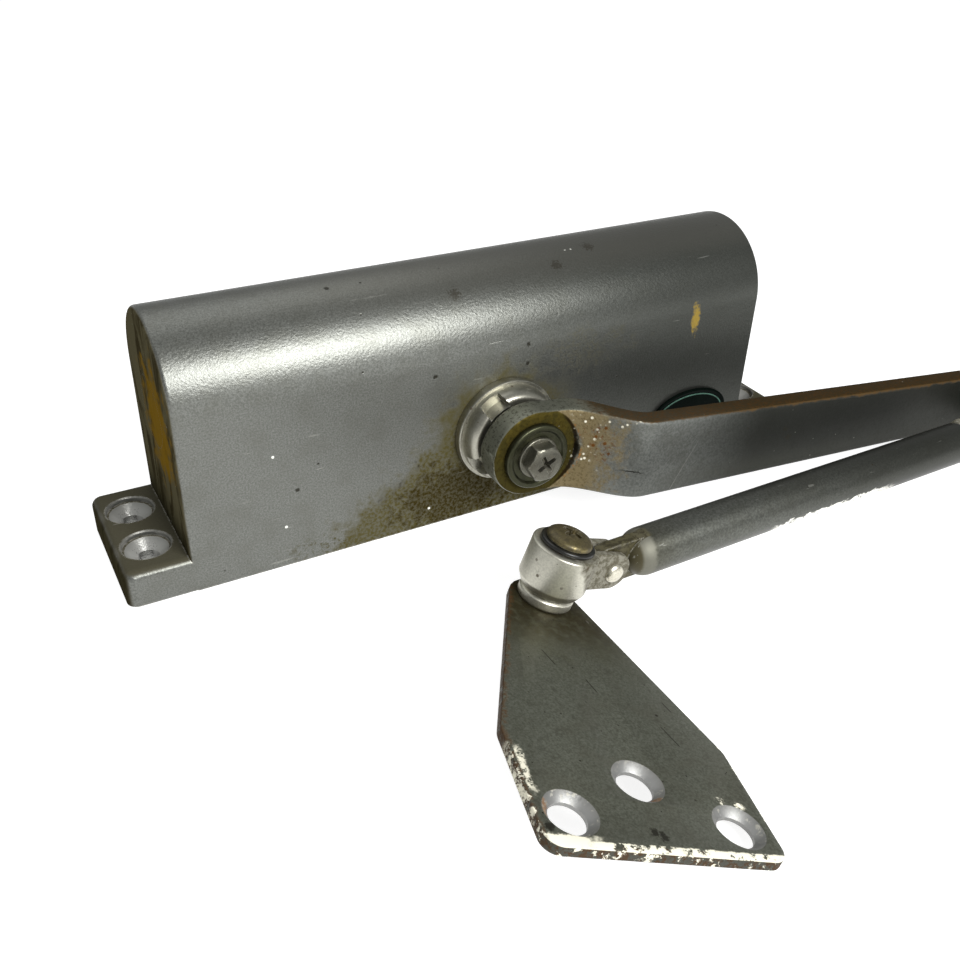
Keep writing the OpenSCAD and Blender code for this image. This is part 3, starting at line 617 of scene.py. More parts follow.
def arm_paint():
    """The main arm: oily on its boss, beige with rust beside it, then blue-grey along the bar, darkened with
    painted shade towards its far end and lower edge.
    """
    s = Shader("arm_paint", specular=0.2)
    way = (ARM.to_3x3() @ X).normalized()
    rise = (ARM.to_3x3() @ Y).normalized()
    along = s.measured(way, spindle_centre / MM)
    up = s.measured(rise, spindle_centre / MM)

    def on_arm(x, y, depth):
        return tuple(spindle_centre / MM + way * x + rise * y - Y * depth)

    flake = s.noise(0.7, 3, 0.7)
    cloud = s.noise(10, 4, 0.6, 0.4)
    torn = s.noise(4, 5, 0.72) - 0.5
    front = s.ramp(s.facing((0, -1, 0)), 0.5, 0.8)
    side = 1 - front
    base = s.mix(s.ramp(flake, 0.3, 0.7), (0.120, 0.126, 0.115), (0.200, 0.207, 0.193))
    base = s.mix(s.ramp(cloud, 0.42, 0.66) * 0.35, base, (0.090, 0.090, 0.074))
    # Painted shade: the paint darkens along the bar towards its far end and towards its lower edge
    base = s.mix(s.ramp(along, 32, 76) * 0.93, base, (0.019, 0.020, 0.016))
    base = s.mix(s.ramp(up, -3, -9) * s.ramp(along, 26, 40) * 0.4, base, (0.050, 0.051, 0.042))
    beige = front * s.ramp(along + torn * 26, 25, 17.5)
    radius = s.math("SQRT", along * along + up * up)
    boss = front * s.ramp(radius + torn * 0.5, 14.2, 13.8)
    step = s.ramp(radius, 13.1, 13.5) * s.ramp(radius, 14.3, 13.9) * s.ramp(along, 7, 10)
    step_rim = s.ramp(radius, 14.1, 14.3) * s.ramp(radius, 14.8, 14.5) * s.ramp(along, 10, 12.5)
    grit = s.patches(0.47, 0.62, 0.9, 4, 0.75)
    mustard = s.ramp(s.noise(3, 4, 0.6) + up * 0.012, 0.5, 0.66)
    rust = s.marks((on_arm(17.5, 5.2, 44), on_arm(20.8, 0.6, 47), on_arm(18.9, 8.5, 46),
                    on_arm(17, 2.4, 44), on_arm(19.5, 3.6, 46), on_arm(22.5, 6.5, 48)), 0.75, 0.3, 0.8)
    rust_haze = s.near(on_arm(18, 4, 45), (6, 6, 8), 0.7, 3) * s.patches(0.5, 0.62, 0.8, 3)
    glint_zone = s.most(s.near(on_arm(15.2, 3, 43), (3.6, 9, 11), 0.5, 3),
                        s.near(on_arm(20, 11, 46), (12, 9, 3), 0.4, 3) * s.ramp(up, 8.5, 10))
    glints = glint_zone * front * s.most(s.spots(1.9, 0.30, 4.0), s.spots(2.7, 0.22, 11.0))
    upper = s.ramp(s.facing((0, 0, 1)), 0.4, 0.8)
    edge_rust = upper * s.ramp(along + torn * 12, 10, 20)
    upper_edge = up + s.ramp(along, 0, 175) * 3 + torn * 3.2
    creep = front * s.ramp(upper_edge, 11.9, 12.8) * s.ramp(along, 14, 20)
    freckle = s.spots(5.5, 0.1, 9.0) * s.ramp(cloud, 0.4, 0.6)
    crack_line = s.ramp(abs(up + 3.9 + torn * 2.2), 0.28, 0.12)
    crack = s.near(on_arm(27, -4, 52), (4.5, 6, 2), 0.3, 3) * crack_line
    scrape = s.ramp(abs(along - up * 0.45 - 46.5 + torn * 0.8), 0.22, 0.1) * s.ramp(up, 6, 0)
    blister = s.marks((on_arm(84, 2.6, BAR_FRONT), on_arm(86.5, -0.6, BAR_FRONT)), 1.3, 0.8, 0.8)
    dust = s.spots(4.5, 0.06, 6.0) * s.ramp(s.noise(18, 2), 0.45, 0.6)
    colour = s.layers(
        base,
        (beige * 0.88, (0.160, 0.122, 0.056)),
        (beige * grit * 0.6, (0.070, 0.050, 0.022)),
        (side * s.ramp(along, 30, 14) * 0.85, (0.200, 0.205, 0.160)),
        (side * s.ramp(along, 30, 14) * s.patches(0.52, 0.6, 1.1, 4, 0.8) * 0.7, (0.020, 0.018, 0.009)),
        (boss * 0.97, (0.036, 0.030, 0.007)),
        (boss * mustard * 0.25, (0.105, 0.076, 0.012)),
        (boss * grit * 0.4, (0.014, 0.010, 0.003)),
        (edge_rust * 0.92, (0.028, 0.018, 0.006)),
        (edge_rust * grit * 0.45, (0.070, 0.030, 0.007)),
        (creep * 0.85, (0.075, 0.045, 0.018)),
        (freckle * 0.7, (0.04, 0.032, 0.018)),
        (rust_haze * 0.75, (0.10, 0.045, 0.018)),
        (rust * 0.9, (0.100, 0.036, 0.005)),
        (blister * 0.5, (0.030, 0.027, 0.016)),
        (step * 0.9, (0.014, 0.009, 0.004)),
        (step_rim * grit * 0.8, (0.30, 0.13, 0.03)),
        (crack * 0.9, (0.012, 0.011, 0.008)),
        (scrape * 0.35, (0.3, 0.3, 0.27)),
        (dust * 0.6, (0.35, 0.35, 0.31)),
        (glints, CREAM))
    dull = s.most(beige * 0.75, edge_rust * 0.9, creep, glints, boss * 0.6)
    rough = 0.36 + flake * 0.14 + grit * 0.08 - boss * 0.14 + edge_rust * 0.15
    metal = s.positive(0.85 - dull * 0.85)
    bump = (flake * 0.5 + grit * beige * 0.9 + glints * 1.0 - crack * 1.0
            + edge_rust * s.noise(0.7, 3) * 1.4 + rust * 0.8 + s.noise(6, 2) * 0.6)
    gloss = s.positive(0.2 - dull * 0.2 - boss * 0.15)
    return s.finish(colour, rough, bump, 0.5, 0.08, metal, gloss)


def tube_paint():
    """The forearm: worn silver over steel, with a smear of white paint low on its front, painted shade darkening
    it along its length and a painted highlight on its shoulder.
    """
    s = Shader("tube_paint", specular=0.2)
    flake = s.noise(0.6, 3, 0.65)
    cloud = s.noise(11, 4, 0.6, 0.5)
    length = s.measured(tube_axis, rivet_at / MM)
    base = s.mix(s.ramp(flake, 0.3, 0.7), (0.080, 0.083, 0.073), (0.142, 0.146, 0.131))
    base = s.mix(s.ramp(cloud, 0.4, 0.66) * 0.4, base, (0.075, 0.075, 0.060))
    # Painted shade: the paint darkens along the tube away from its rivet end
    base = s.mix(s.ramp(length, 25, 120) * 0.75, base, (0.030, 0.031, 0.026))
    low = s.facing((0, -0.45, -0.89))
    torn = s.noise(4, 5, 0.7, 0.4, s.shift((0, 0, 0), (0.6, 1, 1))) - 0.5
    span = s.ramp(length + torn * 14, 56, 60) * s.ramp(length + torn * 30, 112, 100)
    strip = s.ramp(low + torn * 0.9, 0.66, 0.72)
    white = strip * span * s.patches(0.36, 0.44, 1.6)
    near_end = s.ramp(length + cloud * 14, 34, 16)
    flats = s.ramp(abs(s.measured(rivet_axis, rivet_at / MM)), 2.1, 1.8)
    neck = flats * s.ramp(length, 14, 12.5)
    # Painted highlight: a lighter crescent painted on the turned shoulder of the tube
    shoulder_highlight = s.ramp(length + torn * 4, 13.5, 11.5) * s.ramp(length, 8.5, 9.5)
    root = s.ramp(length + torn * 2, 9.8, 8.8)
    spots = s.spots(6, 0.11, 5.0) * s.ramp(s.noise(14, 2), 0.45, 0.6)
    scratch = s.ramp(s.noise(2.2, 3, 0.5, 0.0, s.shift((3, 1, 8), (0.25, 1.5, 1.5))), 0.70, 0.74)
    drops = s.marks(((101.3, -75.3, 8.2), (83, -75.6, 9), (88, -75.5, 8.6)), 0.9, 0.4)
    edge = s.edges(0.5, 1.0)
    colour = s.layers(
        base,
        (near_end * 0.4, (0.060, 0.054, 0.028)),
        (root * 0.9, (0.060, 0.052, 0.026)),
        (shoulder_highlight * 0.5, (0.27, 0.265, 0.22)),
        (neck * 0.9, (0.070, 0.062, 0.032)),
        (neck * s.patches(0.45, 0.6, 1.5) * 0.7, (0.018, 0.015, 0.007)),
        (spots * 0.8, (0.04, 0.03, 0.014)),
        (scratch * 0.35, (0.4, 0.4, 0.36)),
        (edge * 0.6, (0.5, 0.49, 0.43)),
        (s.most(white, drops), (0.82, 0.81, 0.75)))
    rough = 0.34 + flake * 0.14 + white * 0.25 + shoulder_highlight * 0.22
    metal = s.positive(0.85 - white * 0.85 + s.most(neck, root) * -0.6)
    bump = flake * 0.4 + white * 2.0 - spots * 0.7 - scratch * 0.5 + s.noise(5, 3) * 0.6
    return s.finish(colour, rough, bump, 0.45, 0.09, metal)


def plate_paint():
    """The bracket plate: worn grey, oily at its pivot, with rust and old paint on its edges."""
    s = Shader("plate_paint", specular=0.08)
    along = (PLATE.to_3x3() @ X).normalized()
    across = (PLATE.to_3x3() @ Y).normalized()
    centre = pivot_at / MM

    def on_plate(x, y):
        return tuple(centre + along * x + across * y)

    far = s.measured(along, centre)
    off = s.measured(across, centre)
    flake = s.noise(0.6, 3, 0.7)
    cloud = s.noise(14, 4, 0.6, 0.6)
    top = s.ramp(s.facing(tuple(pivot_axis)), 0.8, 0.97)
    face = s.ramp(s.facing(tuple(pivot_axis)), 0.3, 0.6)
    base = s.mix(s.ramp(flake, 0.3, 0.7), (0.082, 0.086, 0.065), (0.143, 0.149, 0.121))
    base = s.mix(s.ramp(cloud, 0.4, 0.64) * 0.4, base, (0.095, 0.093, 0.070))
    oil = s.ramp(far + cloud * 30 + s.noise(3, 4, 0.7) * 8, 54, 20)
    brown = s.ramp(far + s.noise(5, 4, 0.7) * 12, 32, 15) * s.patches(0.30, 0.56, 2.4)
    seat = s.near(on_plate(0, 0), (11, 11, 9), 0.15, 3)
    pits = s.most(s.spots(3.4, 0.09, 1.0), s.spots(6.5, 0.1, 14.0) * s.ramp(cloud, 0.4, 0.6))
    scratch = s.ramp(s.noise(2.6, 3, 0.5, 0.1, s.shift((5, 5, 1), (1.1, 0.16, 0.5))), 0.72, 0.75)
    slant = off - far * 0.35
    lines = ((16.6, 23.5, 6), (11.6, 33, 5), (2.2, 47, 7), (-5.5, 38, 4))
    scores = s.most(*(s.ramp(abs(slant + at + cloud * 0.6), 0.24, 0.1) * s.ramp(far, low, low + 0.8)
                      * s.ramp(far, low + length, low + length - 0.8)
                      for at, low, length in lines))
    half = 10.0 + s.math("MINIMUM", far, PLATE_SHOULDER) * 0.335
    left_in = off + half
    right_in = half - off
    torn = (s.noise(2.2, 5, 0.72) - 0.5) * 6
    patchy = s.patches(0.42, 0.52, 1.7, 4, 0.72)
    sinks = s.most(*(s.near(on_plate(x, y), (8.6, 8.6, 8.6), 0, 3) for x, y in PLATE_HOLES))
    rim = (1 - top) * (1 - sinks)
    left_white = (s.ramp(left_in + torn, 0.5, 0.1) * s.ramp(far + torn, 57, 60)
                  * s.ramp(far + torn * 2, 82, 74) * patchy)
    streaks = (s.ramp(left_in + torn * 0.3, 0.9, 1.4) * s.ramp(left_in + torn * 0.4, 3.2, 2.4)
               * s.ramp(far + torn, 58, 61) * s.ramp(far + torn, 73, 70) * top * patchy * 0.9)
    base_white = face * s.ramp(far + torn * 0.22, 83.3, 83.7) * s.patches(0.40, 0.47, 2.8)
    corner_white = (face * s.near(on_plate(82.6, -22), (8, 8, 8), 0.35, 2)
                    * s.ramp(far + torn * 0.5, 82.0, 82.7))
    right_white = s.ramp(right_in + torn * 0.5, 0.5, 0.1) * s.ramp(far, 40, 46) * patchy * 0.8
    rim_white = rim * s.ramp(far, 56, 66) * s.patches(0.56, 0.62, 1.8, 4, 0.72)
    hole_white = top * s.marks((on_plate(69.6, 18.6), on_plate(70.6, 23)), 1.3, 0.6, 0.9) * patchy
    paint = s.most(left_white, streaks, base_white, corner_white, right_white, rim_white, hole_white)
    left_rust = s.ramp(left_in + torn * 0.6, 1.6, 0.6) * s.patches(0.4, 0.54, 1.5)
    foot_rust = s.ramp(far + torn * 0.4, 84.0, 84.6) * s.patches(0.5, 0.58, 1.6)
    rust = s.most(left_rust, foot_rust, rim * s.patches(0.48, 0.6, 1.4))
    blots = s.marks((on_plate(80.6, -25.5), on_plate(80.3, -2.2), on_plate(81, -0.6)), 1.5, 0.6, 1.0)
    sloped = s.ramp(s.facing(tuple(pivot_axis)), 0.95, 0.88) * sinks
    sink_rust = s.marks((on_plate(74.6, -24), on_plate(76.2, -24.4), on_plate(70, 2.6)), 1.9, 0.5, 0.8)
    edge = s.edges(0.5, 1.0)
    colour = s.layers(
        base,
        (oil * 0.8, (0.058, 0.054, 0.022)),
        (brown * 0.8, (0.032, 0.024, 0.008)),
        (seat * 0.85, (0.014, 0.011, 0.005)),
        (s.patches(0.5, 0.66, 2.2, 5, 0.75) * 0.45, (0.062, 0.062, 0.046)),
        (pits * 0.85, (0.014, 0.011, 0.006)),
        (scores * 0.8, (0.016, 0.014, 0.009)),
        (scratch * 0.4, (0.28, 0.28, 0.25)),
        (edge * 0.4, (0.24, 0.21, 0.15)),
        (rim * 0.75, (0.055, 0.054, 0.045)),
        (rust * 0.8, (0.060, 0.030, 0.012)),
        (blots * 0.85, (0.015, 0.013, 0.008)),
        (sloped * 0.95, (0.30, 0.30, 0.295)),
        (sink_rust * sloped * 0.9, (0.30, 0.13, 0.02)),
        (paint, CREAM))
    rough = 0.46 + flake * 0.14 - oil * 0.06 + paint * 0.2 + rust * 0.15
    metal = s.positive(0.75 - oil * 0.1 - paint * 0.75 - rust * 0.5 + sloped * 0.2)
    bump = (flake * 0.45 - pits * 1.1 + paint * 1.5 + rust * s.noise(0.6, 3) * 1.2 - scratch * 0.5
            + s.noise(7, 2) * 0.5)
    return s.finish(colour, rough, bump, 0.45, 0.09, metal)


def tarnished(name, tint, dirt_colour, amount, rough_base=0.34):
    """Zinc or bronze hardware with dirt."""
    s = Shader(name)
    grain = s.noise(0.5, 3, 0.65)
    cloud = s.noise(2.6, 4, 0.65, 0.4)
    dirt = s.ramp(cloud + s.noise(0.8, 3, 0.7) * 0.3, 0.78 - 0.3 * amount, 0.95 - 0.2 * amount)
    edge = s.edges(0.25, 0.7)
    base = s.mix(s.ramp(grain, 0.3, 0.7), tuple(0.75 * c for c in tint), tint)
    colour = s.layers(base, (dirt * 0.75, dirt_colour), (edge * 0.7, (0.45, 0.43, 0.36)),
                      (s.spots(1.6, 0.12, 3.0) * 0.6, (0.03, 0.022, 0.010)))
    rough = rough_base + grain * 0.15 + dirt * 0.15
    metal = 0.95 - dirt * 0.5
    bump = grain * 0.4 + dirt * s.noise(0.4, 2) * 0.7
    return s.finish(colour, rough, bump, 0.4, 0.05, metal)


def rubber():
    """Black seal rubber with a greasy shine and a little dust."""
    s = Shader("seal_rubber")
    grain = s.noise(0.35, 3, 0.6)
    dust = s.patches(0.55, 0.72, 1.4) * 0.15
    colour = s.mix(dust, s.mix(grain, (0.004, 0.004, 0.003), (0.008, 0.008, 0.007)), (0.05, 0.045, 0.03))
    return s.finish(colour, 0.24 + grain * 0.12 + dust * 0.8, grain, 0.25, 0.03)


def badge_black():
    """Black lacquer with a green tint, fine scratches and dust."""
    s = Shader("badge_black", specular=0.02)
    grain = s.noise(0.5, 2, 0.5)
    dust = s.spots(1.9, 0.08, 2.0) * s.ramp(s.noise(8, 2), 0.45, 0.62)
    haze = s.patches(0.45, 0.7, 5, 4, 0.6) * 0.2
    colour = s.layers(s.mix(grain, (0.001, 0.002, 0.0015), (0.002, 0.004, 0.003)),
                      (haze, (0.005, 0.009, 0.007)), (dust * 0.4, (0.2, 0.2, 0.17)))
    return s.finish(colour, 0.24 + grain * 0.08 + haze * 0.6, grain, 0.15, 0.02)


def badge_line():
    """Pale green enamel of the badge's ring."""
    s = Shader("badge_line", specular=0.1)
    grain = s.noise(0.4, 3, 0.6)
    wear = s.patches(0.5, 0.66, 2.5)
    colour = s.mix(wear * 0.6, s.mix(grain, (0.042, 0.092, 0.070), (0.068, 0.135, 0.102)),
                   (0.012, 0.03, 0.022))
    return s.finish(colour, 0.32 + grain * 0.1, grain, 0.2, 0.02)


def plastic():
    """Black moulded plastic with a fine texture."""
    s = Shader("cap_plastic", specular=0.4)
    grain = s.noise(0.3, 2, 0.6)
    dust = s.patches(0.5, 0.7, 3) * 0.3
    colour = s.mix(dust, s.mix(grain, (0.012, 0.012, 0.012), (0.022, 0.022, 0.021)), (0.08, 0.075, 0.055))
    return s.finish(colour, 0.42 + grain * 0.15, grain, 0.3, 0.04)


def machined(name, tint, rough_base, metallic=1.0, stain=(0.08, 0.06, 0.03)):
    """A machined or moulded inner piece under a film of oil."""
    s = Shader(name, metallic=metallic)
    grain = s.noise(0.6, 3, 0.6)
    film = s.ramp(s.noise(6, 4, 0.6, 0.5), 0.45, 0.7)
    base = s.mix(grain, tuple(0.8 * c for c in tint), tint)
    colour = s.mix(film * 0.35, base, stain)
    return s.finish(colour, rough_base + grain * 0.1 - film * 0.08, grain, 0.25, 0.03)


LUG_WAY = (rivet_at - pivot_at).normalized()
PAINT = body_paint()
NUT_METAL = nickel("nut_nickel", (0.40, 0.39, 0.33), 0.6, 0.28)
DRUM_METAL = nickel("drum_nickel", (0.60, 0.585, 0.50), 0.3, 0.36, (LUG_WAY, pivot_at / MM, 7.6, 9.6),
                    (0.040, 0.033, 0.012))
ARM_METAL = arm_paint()
TUBE_METAL = tube_paint()
PLATE_METAL = plate_paint()
WASHER_METAL = tarnished("washer_metal", (0.060, 0.062, 0.036), (0.020, 0.018, 0.007), 0.45, 0.3)
HEX_METAL = tarnished("hex_metal", (0.190, 0.185, 0.150), (0.040, 0.034, 0.018), 0.5, 0.28)
DOME_METAL = tarnished("dome_metal", (0.21, 0.175, 0.085), (0.014, 0.010, 0.003), 0.95, 0.24)
RIVET_METAL = tarnished("rivet_metal", (0.70, 0.67, 0.56), (0.16, 0.12, 0.06), 0.15, 0.22)
ROD_METAL = tarnished("rod_metal", (0.30, 0.29, 0.26), (0.05, 0.04, 0.02), 0.4, 0.34)
RUBBER = rubber()
BADGE_BLACK = badge_black()
BADGE_LINE = badge_line()
PLASTIC = plastic()
BARE_STEEL = machined("bare_steel", (0.42, 0.42, 0.41), 0.28)
BRASS = machined("brass", (0.62, 0.47, 0.2), 0.26)
PTFE = machined("ptfe", (0.74, 0.73, 0.67), 0.5, 0.0, (0.45, 0.38, 0.24))


# ---- body ----------------------------------------------------------------

def body_section():
    """The body's section in Y and Z."""
    corners = [(-HALF_WIDTH, 0), (HALF_WIDTH, 0), (HALF_WIDTH, BODY_HEIGHT), (-HALF_WIDTH, BODY_HEIGHT)]
    return rounded(corners, [0, 0, HALF_WIDTH - 0.01, HALF_WIDTH - 0.01], 24)


def countersink():
    """What a fixing hole takes out of an ear, with a softened lip."""
    lip = 6.6
    return turned([(0, -1), (FIXING_R, -1), (FIXING_R, 6.4), (5.9, 9.1), (lip, 9.2),
                   (lip, EAR_HEIGHT - 0.35),
                   (lip + 0.5, EAR_HEIGHT + 0.2), (lip + 0.5, 13), (0, 13)], None, 64)


def casting():
    """The body with its ears, bores and fixing holes."""
    outline = body_section()
    rings = []
    steps = 5
    turns = [math.pi / 2 * k / steps for k in range(steps + 1)]
    for side in (-1, 1):
        for t in turns if side < 0 else reversed(turns):
            shrunk = inset(outline, END_EDGE * (1 - math.sin(t)))
            x = side * (HALF_LENGTH - END_EDGE * (1 - math.cos(t)))
            rings.append([(x, y, z) for y, z in shrunk])
    bm = add_rings(bmesh.new(), rings)
    ears = rounded([(-EAR_END, -HALF_WIDTH), (EAR_END, -HALF_WIDTH), (EAR_END, HALF_WIDTH),
                    (-EAR_END, HALF_WIDTH)], [3, 3, 3, 3])
    bm = merged(bm, ear_block(ears), "UNION")
    past = HALF_LENGTH + 2
    bore = turned([(0, -past), (PLUG_BORE_R, -past), (PLUG_BORE_R, PLUG_SEAT), (CYLINDER_R, PLUG_SEAT),
                   (CYLINDER_R, CAP_SEAT), (CAP_BORE_R, CAP_SEAT), (CAP_BORE_R, past), (0, past)])
    bm = cut(bm, moved(bore, along_x(0, 0, BORE_HEIGHT)))
    for side in (-1, 1):
        valve = turned([(0, 70), (3.05, 70), (3.05, past), (0, past)], None, 32)
        bm = cut(bm, moved(valve, along_x(0, side * VALVE_OUT, VALVE_HEIGHT)))
        well = turned([(0, 16), (15.25, 16), (15.25, 24), (0, 24)])
        bm = cut(bm, moved(well, BODY.inverted() @ (FRONT if side < 0 else BACK)))
        for end in (-1, 1):
            place = (end * HOLE_HALF_LONG, side * HOLE_HALF_SHORT, 0)
            bm = cut(bm, moved(countersink(), Matrix.Translation(place)))
    return bm


def ear_block(outline):
    """The slab that makes both ears, with a broad round along its upper edge."""
    edge = 2.4
    steps = 6
    rings = [[(x, y, 0) for x, y in inset(outline, 0.3)], [(x, y, 0.3) for x, y in outline]]
    for k in range(steps + 1):
        t = math.pi / 2 * k / steps
        shrunk = inset(outline, edge * (1 - math.cos(t)))
        rings.append([(x, y, EAR_HEIGHT - edge * (1 - math.sin(t))) for x, y in shrunk])
    return add_rings(bmesh.new(), rings)


def badge():
    """An oval badge, left blank, with a raised line near its rim."""
    half_long, half_short, centre = 15.4, 9.2, (71.8, 15.2)
    here = local_frame(Vector((centre[0], -HALF_WIDTH, centre[1])) * MM, X, -Y)

    def oval(shrink, steps=96):
        return [((half_long - shrink) * math.cos(math.tau * i / steps),
                 (half_short - shrink) * math.sin(math.tau * i / steps)) for i in range(steps)]

    levels = [(0.35, 0), (0, 0.35), (0, 0.7), (0.15, 0.92), (0.4, 1.0), (0.9, 1.0), (1.15, 0.86),
              (1.6, 0.8)]
    rings = [[(x, y, z) for x, y in oval(shrink)] for shrink, z in levels]
    rings += [[(x * k / 6, y * k / 6, 0.8 + 0.15 * (1 - (k / 6) ** 2)) for x,
               y in oval(1.6)] for k in range(5, 0, -1)]
    piece("badge_plate", add_rings(bmesh.new(), rings), here, "closer_body", "badge_trim", BADGE_BLACK,
          "badge")
    line = []
    for shrink, z in ((1.75, 0.8), (1.75, 0.98), (2.15, 0.98), (2.15, 0.8)):
        line.append([(x, y, z) for x, y in oval(shrink)])
    piece("badge_ring", add_rings(bmesh.new(), line, loop=True), here, "closer_body", "badge_trim",
          BADGE_LINE)


def nut_height(r, angle, notches):
    """How far the nut's face stands out, at a radius and an angle."""
    flange, flange_top, crown_edge, crown_r = 15.35, 24.7, 15.0, 12.3
    if r >= flange:
        height = flange_top - 0.5 * smoothstep(15.9, 16.3, r)
    elif r > crown_r:
        t = min(1.0, (r - crown_r) / (crown_edge - crown_r))
        height = flange_top + (NUT_FRONT - flange_top) * math.sqrt(max(0.0, 1 - t ** 2.6))
    else:
        height = NUT_FRONT - 0.12 * smoothstep(10.2, 9.6, r)
    depth = 0.0
    for notch in notches:
        swing = (angle - notch + math.pi) % math.tau - math.pi
        if abs(swing) < 0.6:
            across = abs(r * math.sin(swing))
            depth = max(depth, smoothstep(3.5, 3.05, across) * smoothstep(11.7, 12.1, r))
    return height - depth * max(0.0, height - 25.9)


def castle_nut(name, matrix, notch_angles, material, node):
    """A castellated nut as one fine skin, so that its notches keep soft edges."""
    steps = 288
    notches = [math.radians(a) for a in notch_angles]
    angles = [math.tau * i / steps for i in range(steps)]
    rings = [[(r * math.cos(a), r * math.sin(a), z) for a in angles]
             for r, z in ((15.2, 17.2), (15.2, 22), (16.0, 22), (16.2, 22.2), (16.2, 23.9))]
    radius = 16.1
    while radius > 8.65:
        rings.append([(radius * math.cos(a), radius * math.sin(a),
                       nut_height(radius, a, notches)) for a in angles])
        radius -= 0.09 if radius > 15.2 else 0.2 if radius > 11.4 else 0.5
    rings += [[(8.6 * math.cos(a), 8.6 * math.sin(a), z) for a in angles] for z in (29.6, 27.3)]
    rings += [[(10.6 * math.cos(a), 10.6 * math.sin(a), z) for a in angles] for z in (27.2, 17.2)]
    bm = add_rings(bmesh.new(), rings, loop=True)
    piece(name, bm, matrix, "closer_body", "satin_nickel", material, node)


# ---- main arm ------------------------------------------------------------

def arm_half(x):
    """Half the height of the arm at a distance along it."""
    tip = ARM_REACH - 11
    sizes = [0.02]
    if abs(x) < BOSS_R:
        sizes.append(math.sqrt(BOSS_R ** 2 - x ** 2))
    if abs(x - ARM_REACH) < EYE_R:
        sizes.append(math.sqrt(EYE_R ** 2 - (x - ARM_REACH) ** 2))
    if 0 <= x <= tip:
        sizes.append(13.1 + (9.9 - 13.1) * x / tip)
    elif tip < x <= ARM_REACH:
        sizes.append(9.9 + (EYE_R - 9.9) * (x - tip) / 11)
    return max(sizes)


def arm_front(x, z):
    """Where the arm's face is, stepping out from the flat round the washer."""
    step = (1 - math.cos(math.pi * max(0, min(1, (x - 8) / 24)))) / 2
    bar = BOSS_FRONT + (BAR_FRONT - BOSS_FRONT) * step
    return BOSS_FRONT + (bar - BOSS_FRONT) * smoothstep(13.5, 14.3, math.hypot(x, z))


def arm_back(x):
    """Where the arm's back is at a distance along it."""
    step = (1 - math.cos(math.pi * max(0, min(1, (x - 12) / 21)))) / 2
    return BOSS_BACK + (BAR_BACK - BOSS_BACK) * step


def main_arm():
    """The forged arm as one loft: boss, step and tapering bar."""
    edge = 1.0
    stations = [-BOSS_R * math.cos(math.pi / 2 * k / 16) for k in range(1, 16)]
    stations += [k * 0.75 for k in range(56)]
    stations += [42 + k * 6 for k in range(1, int((ARM_REACH - 53) / 6) + 1)]
    last = stations[-1]
    stations += [last + (ARM_REACH - last) * k / 4 for k in range(1, 5)]
    stations += [ARM_REACH + EYE_R * math.sin(math.pi / 2 * k / 14) for k in range(1, 14)]
    rings = []
    for x in stations:
        half = arm_half(x)
        e = min(edge, half * 0.6)
        back = arm_back(x)
        ring = []
        for k in range(25):
            z = (half - e) * (1 - k / 12)
            ring.append((x, z, arm_front(x, z)))
        for k in range(1, 5):
            t = math.pi / 2 * k / 4
            ring.append((x, -half + e - e * math.sin(t), arm_front(x, -half) - e + e * math.cos(t)))
        for k in range(5):
            t = math.pi / 2 * k / 4
            ring.append((x, -half + e - e * math.cos(t), back + e - e * math.sin(t)))
        for k in range(5):
            t = math.pi / 2 * k / 4
            ring.append((x, half - e + e * math.sin(t), back + e - e * math.cos(t)))
        for k in range(4):
            t = math.pi / 2 * k / 4
            ring.append((x, half - e + e * math.cos(t), arm_front(x, half) - e + e * math.sin(t)))
        rings.append(ring)
    bm = add_rings(bmesh.new(), rings)
    eye = turned([(0, 40), (5.05, 40), (5.05, 60), (0, 60)], None, 48)
    bm = cut(bm, moved(eye, Matrix.Translation((ARM_REACH, 0, 0))))
    piece("arm_forging", bm, ARM, "spindle_arm", "arm_steel", ARM_METAL, "main_arm")


def hex_rings(flats, levels, steps=120):
    """Rings of a hexagon whose corners are cut back to a radius at each (height, radius) level."""
    rings = []
    for z, limit in levels:
        ring = []
        for i in range(steps):
            angle = math.tau * i / steps
            swing = angle % (math.pi / 3) - math.pi / 6
            r = min(flats / 2 / math.cos(swing), limit)
            ring.append((r * math.cos(angle), r * math.sin(angle), z))
        rings.append(ring)
    return rings


def arm_fastener():
    """The dished washer and the flanged hexagon screw with its cross recess."""
    washer = turned([(3.3, BOSS_FRONT), (10, BOSS_FRONT), (10, BOSS_FRONT + 2.2), (8.5, BOSS_FRONT + 2.2),
                     (7.9, BOSS_FRONT + 1.5), (3.3, BOSS_FRONT + 1.5)], [0, 0.3, 0.6, 0.3, 0.3, 0])
    piece("arm_washer_disc", washer, FRONT, "spindle_arm", "arm_steel", WASHER_METAL, "arm_washer")
    seat = BOSS_FRONT + 1.5
    top = 46.5
    levels = [(seat + 1, 5.72), (top - 1.0, 5.72), (top - 0.7, 5.6), (top - 0.35, 5.25),
              (top - 0.12, 4.9),
              (top, 4.55)]
    bm = turned([(0, 26), (3, 26), (3, seat), (6.3, seat), (6.2, seat + 1.1), (0, seat + 1.1)],
                [0, 0.3, 0, 0.2, 0.4, 0])
    bm = merged(bm, add_rings(bmesh.new(), hex_rings(10, levels)), "UNION")
    bm = cut(bm, cross_cutter(top, 3.0, 1.5, 2.2, math.radians(28)))
    piece("arm_screw_flanged", bm, FRONT, "spindle_arm", "bright_steel", HEX_METAL, "arm_screw")


# ---- elbow ---------------------------------------------------------------

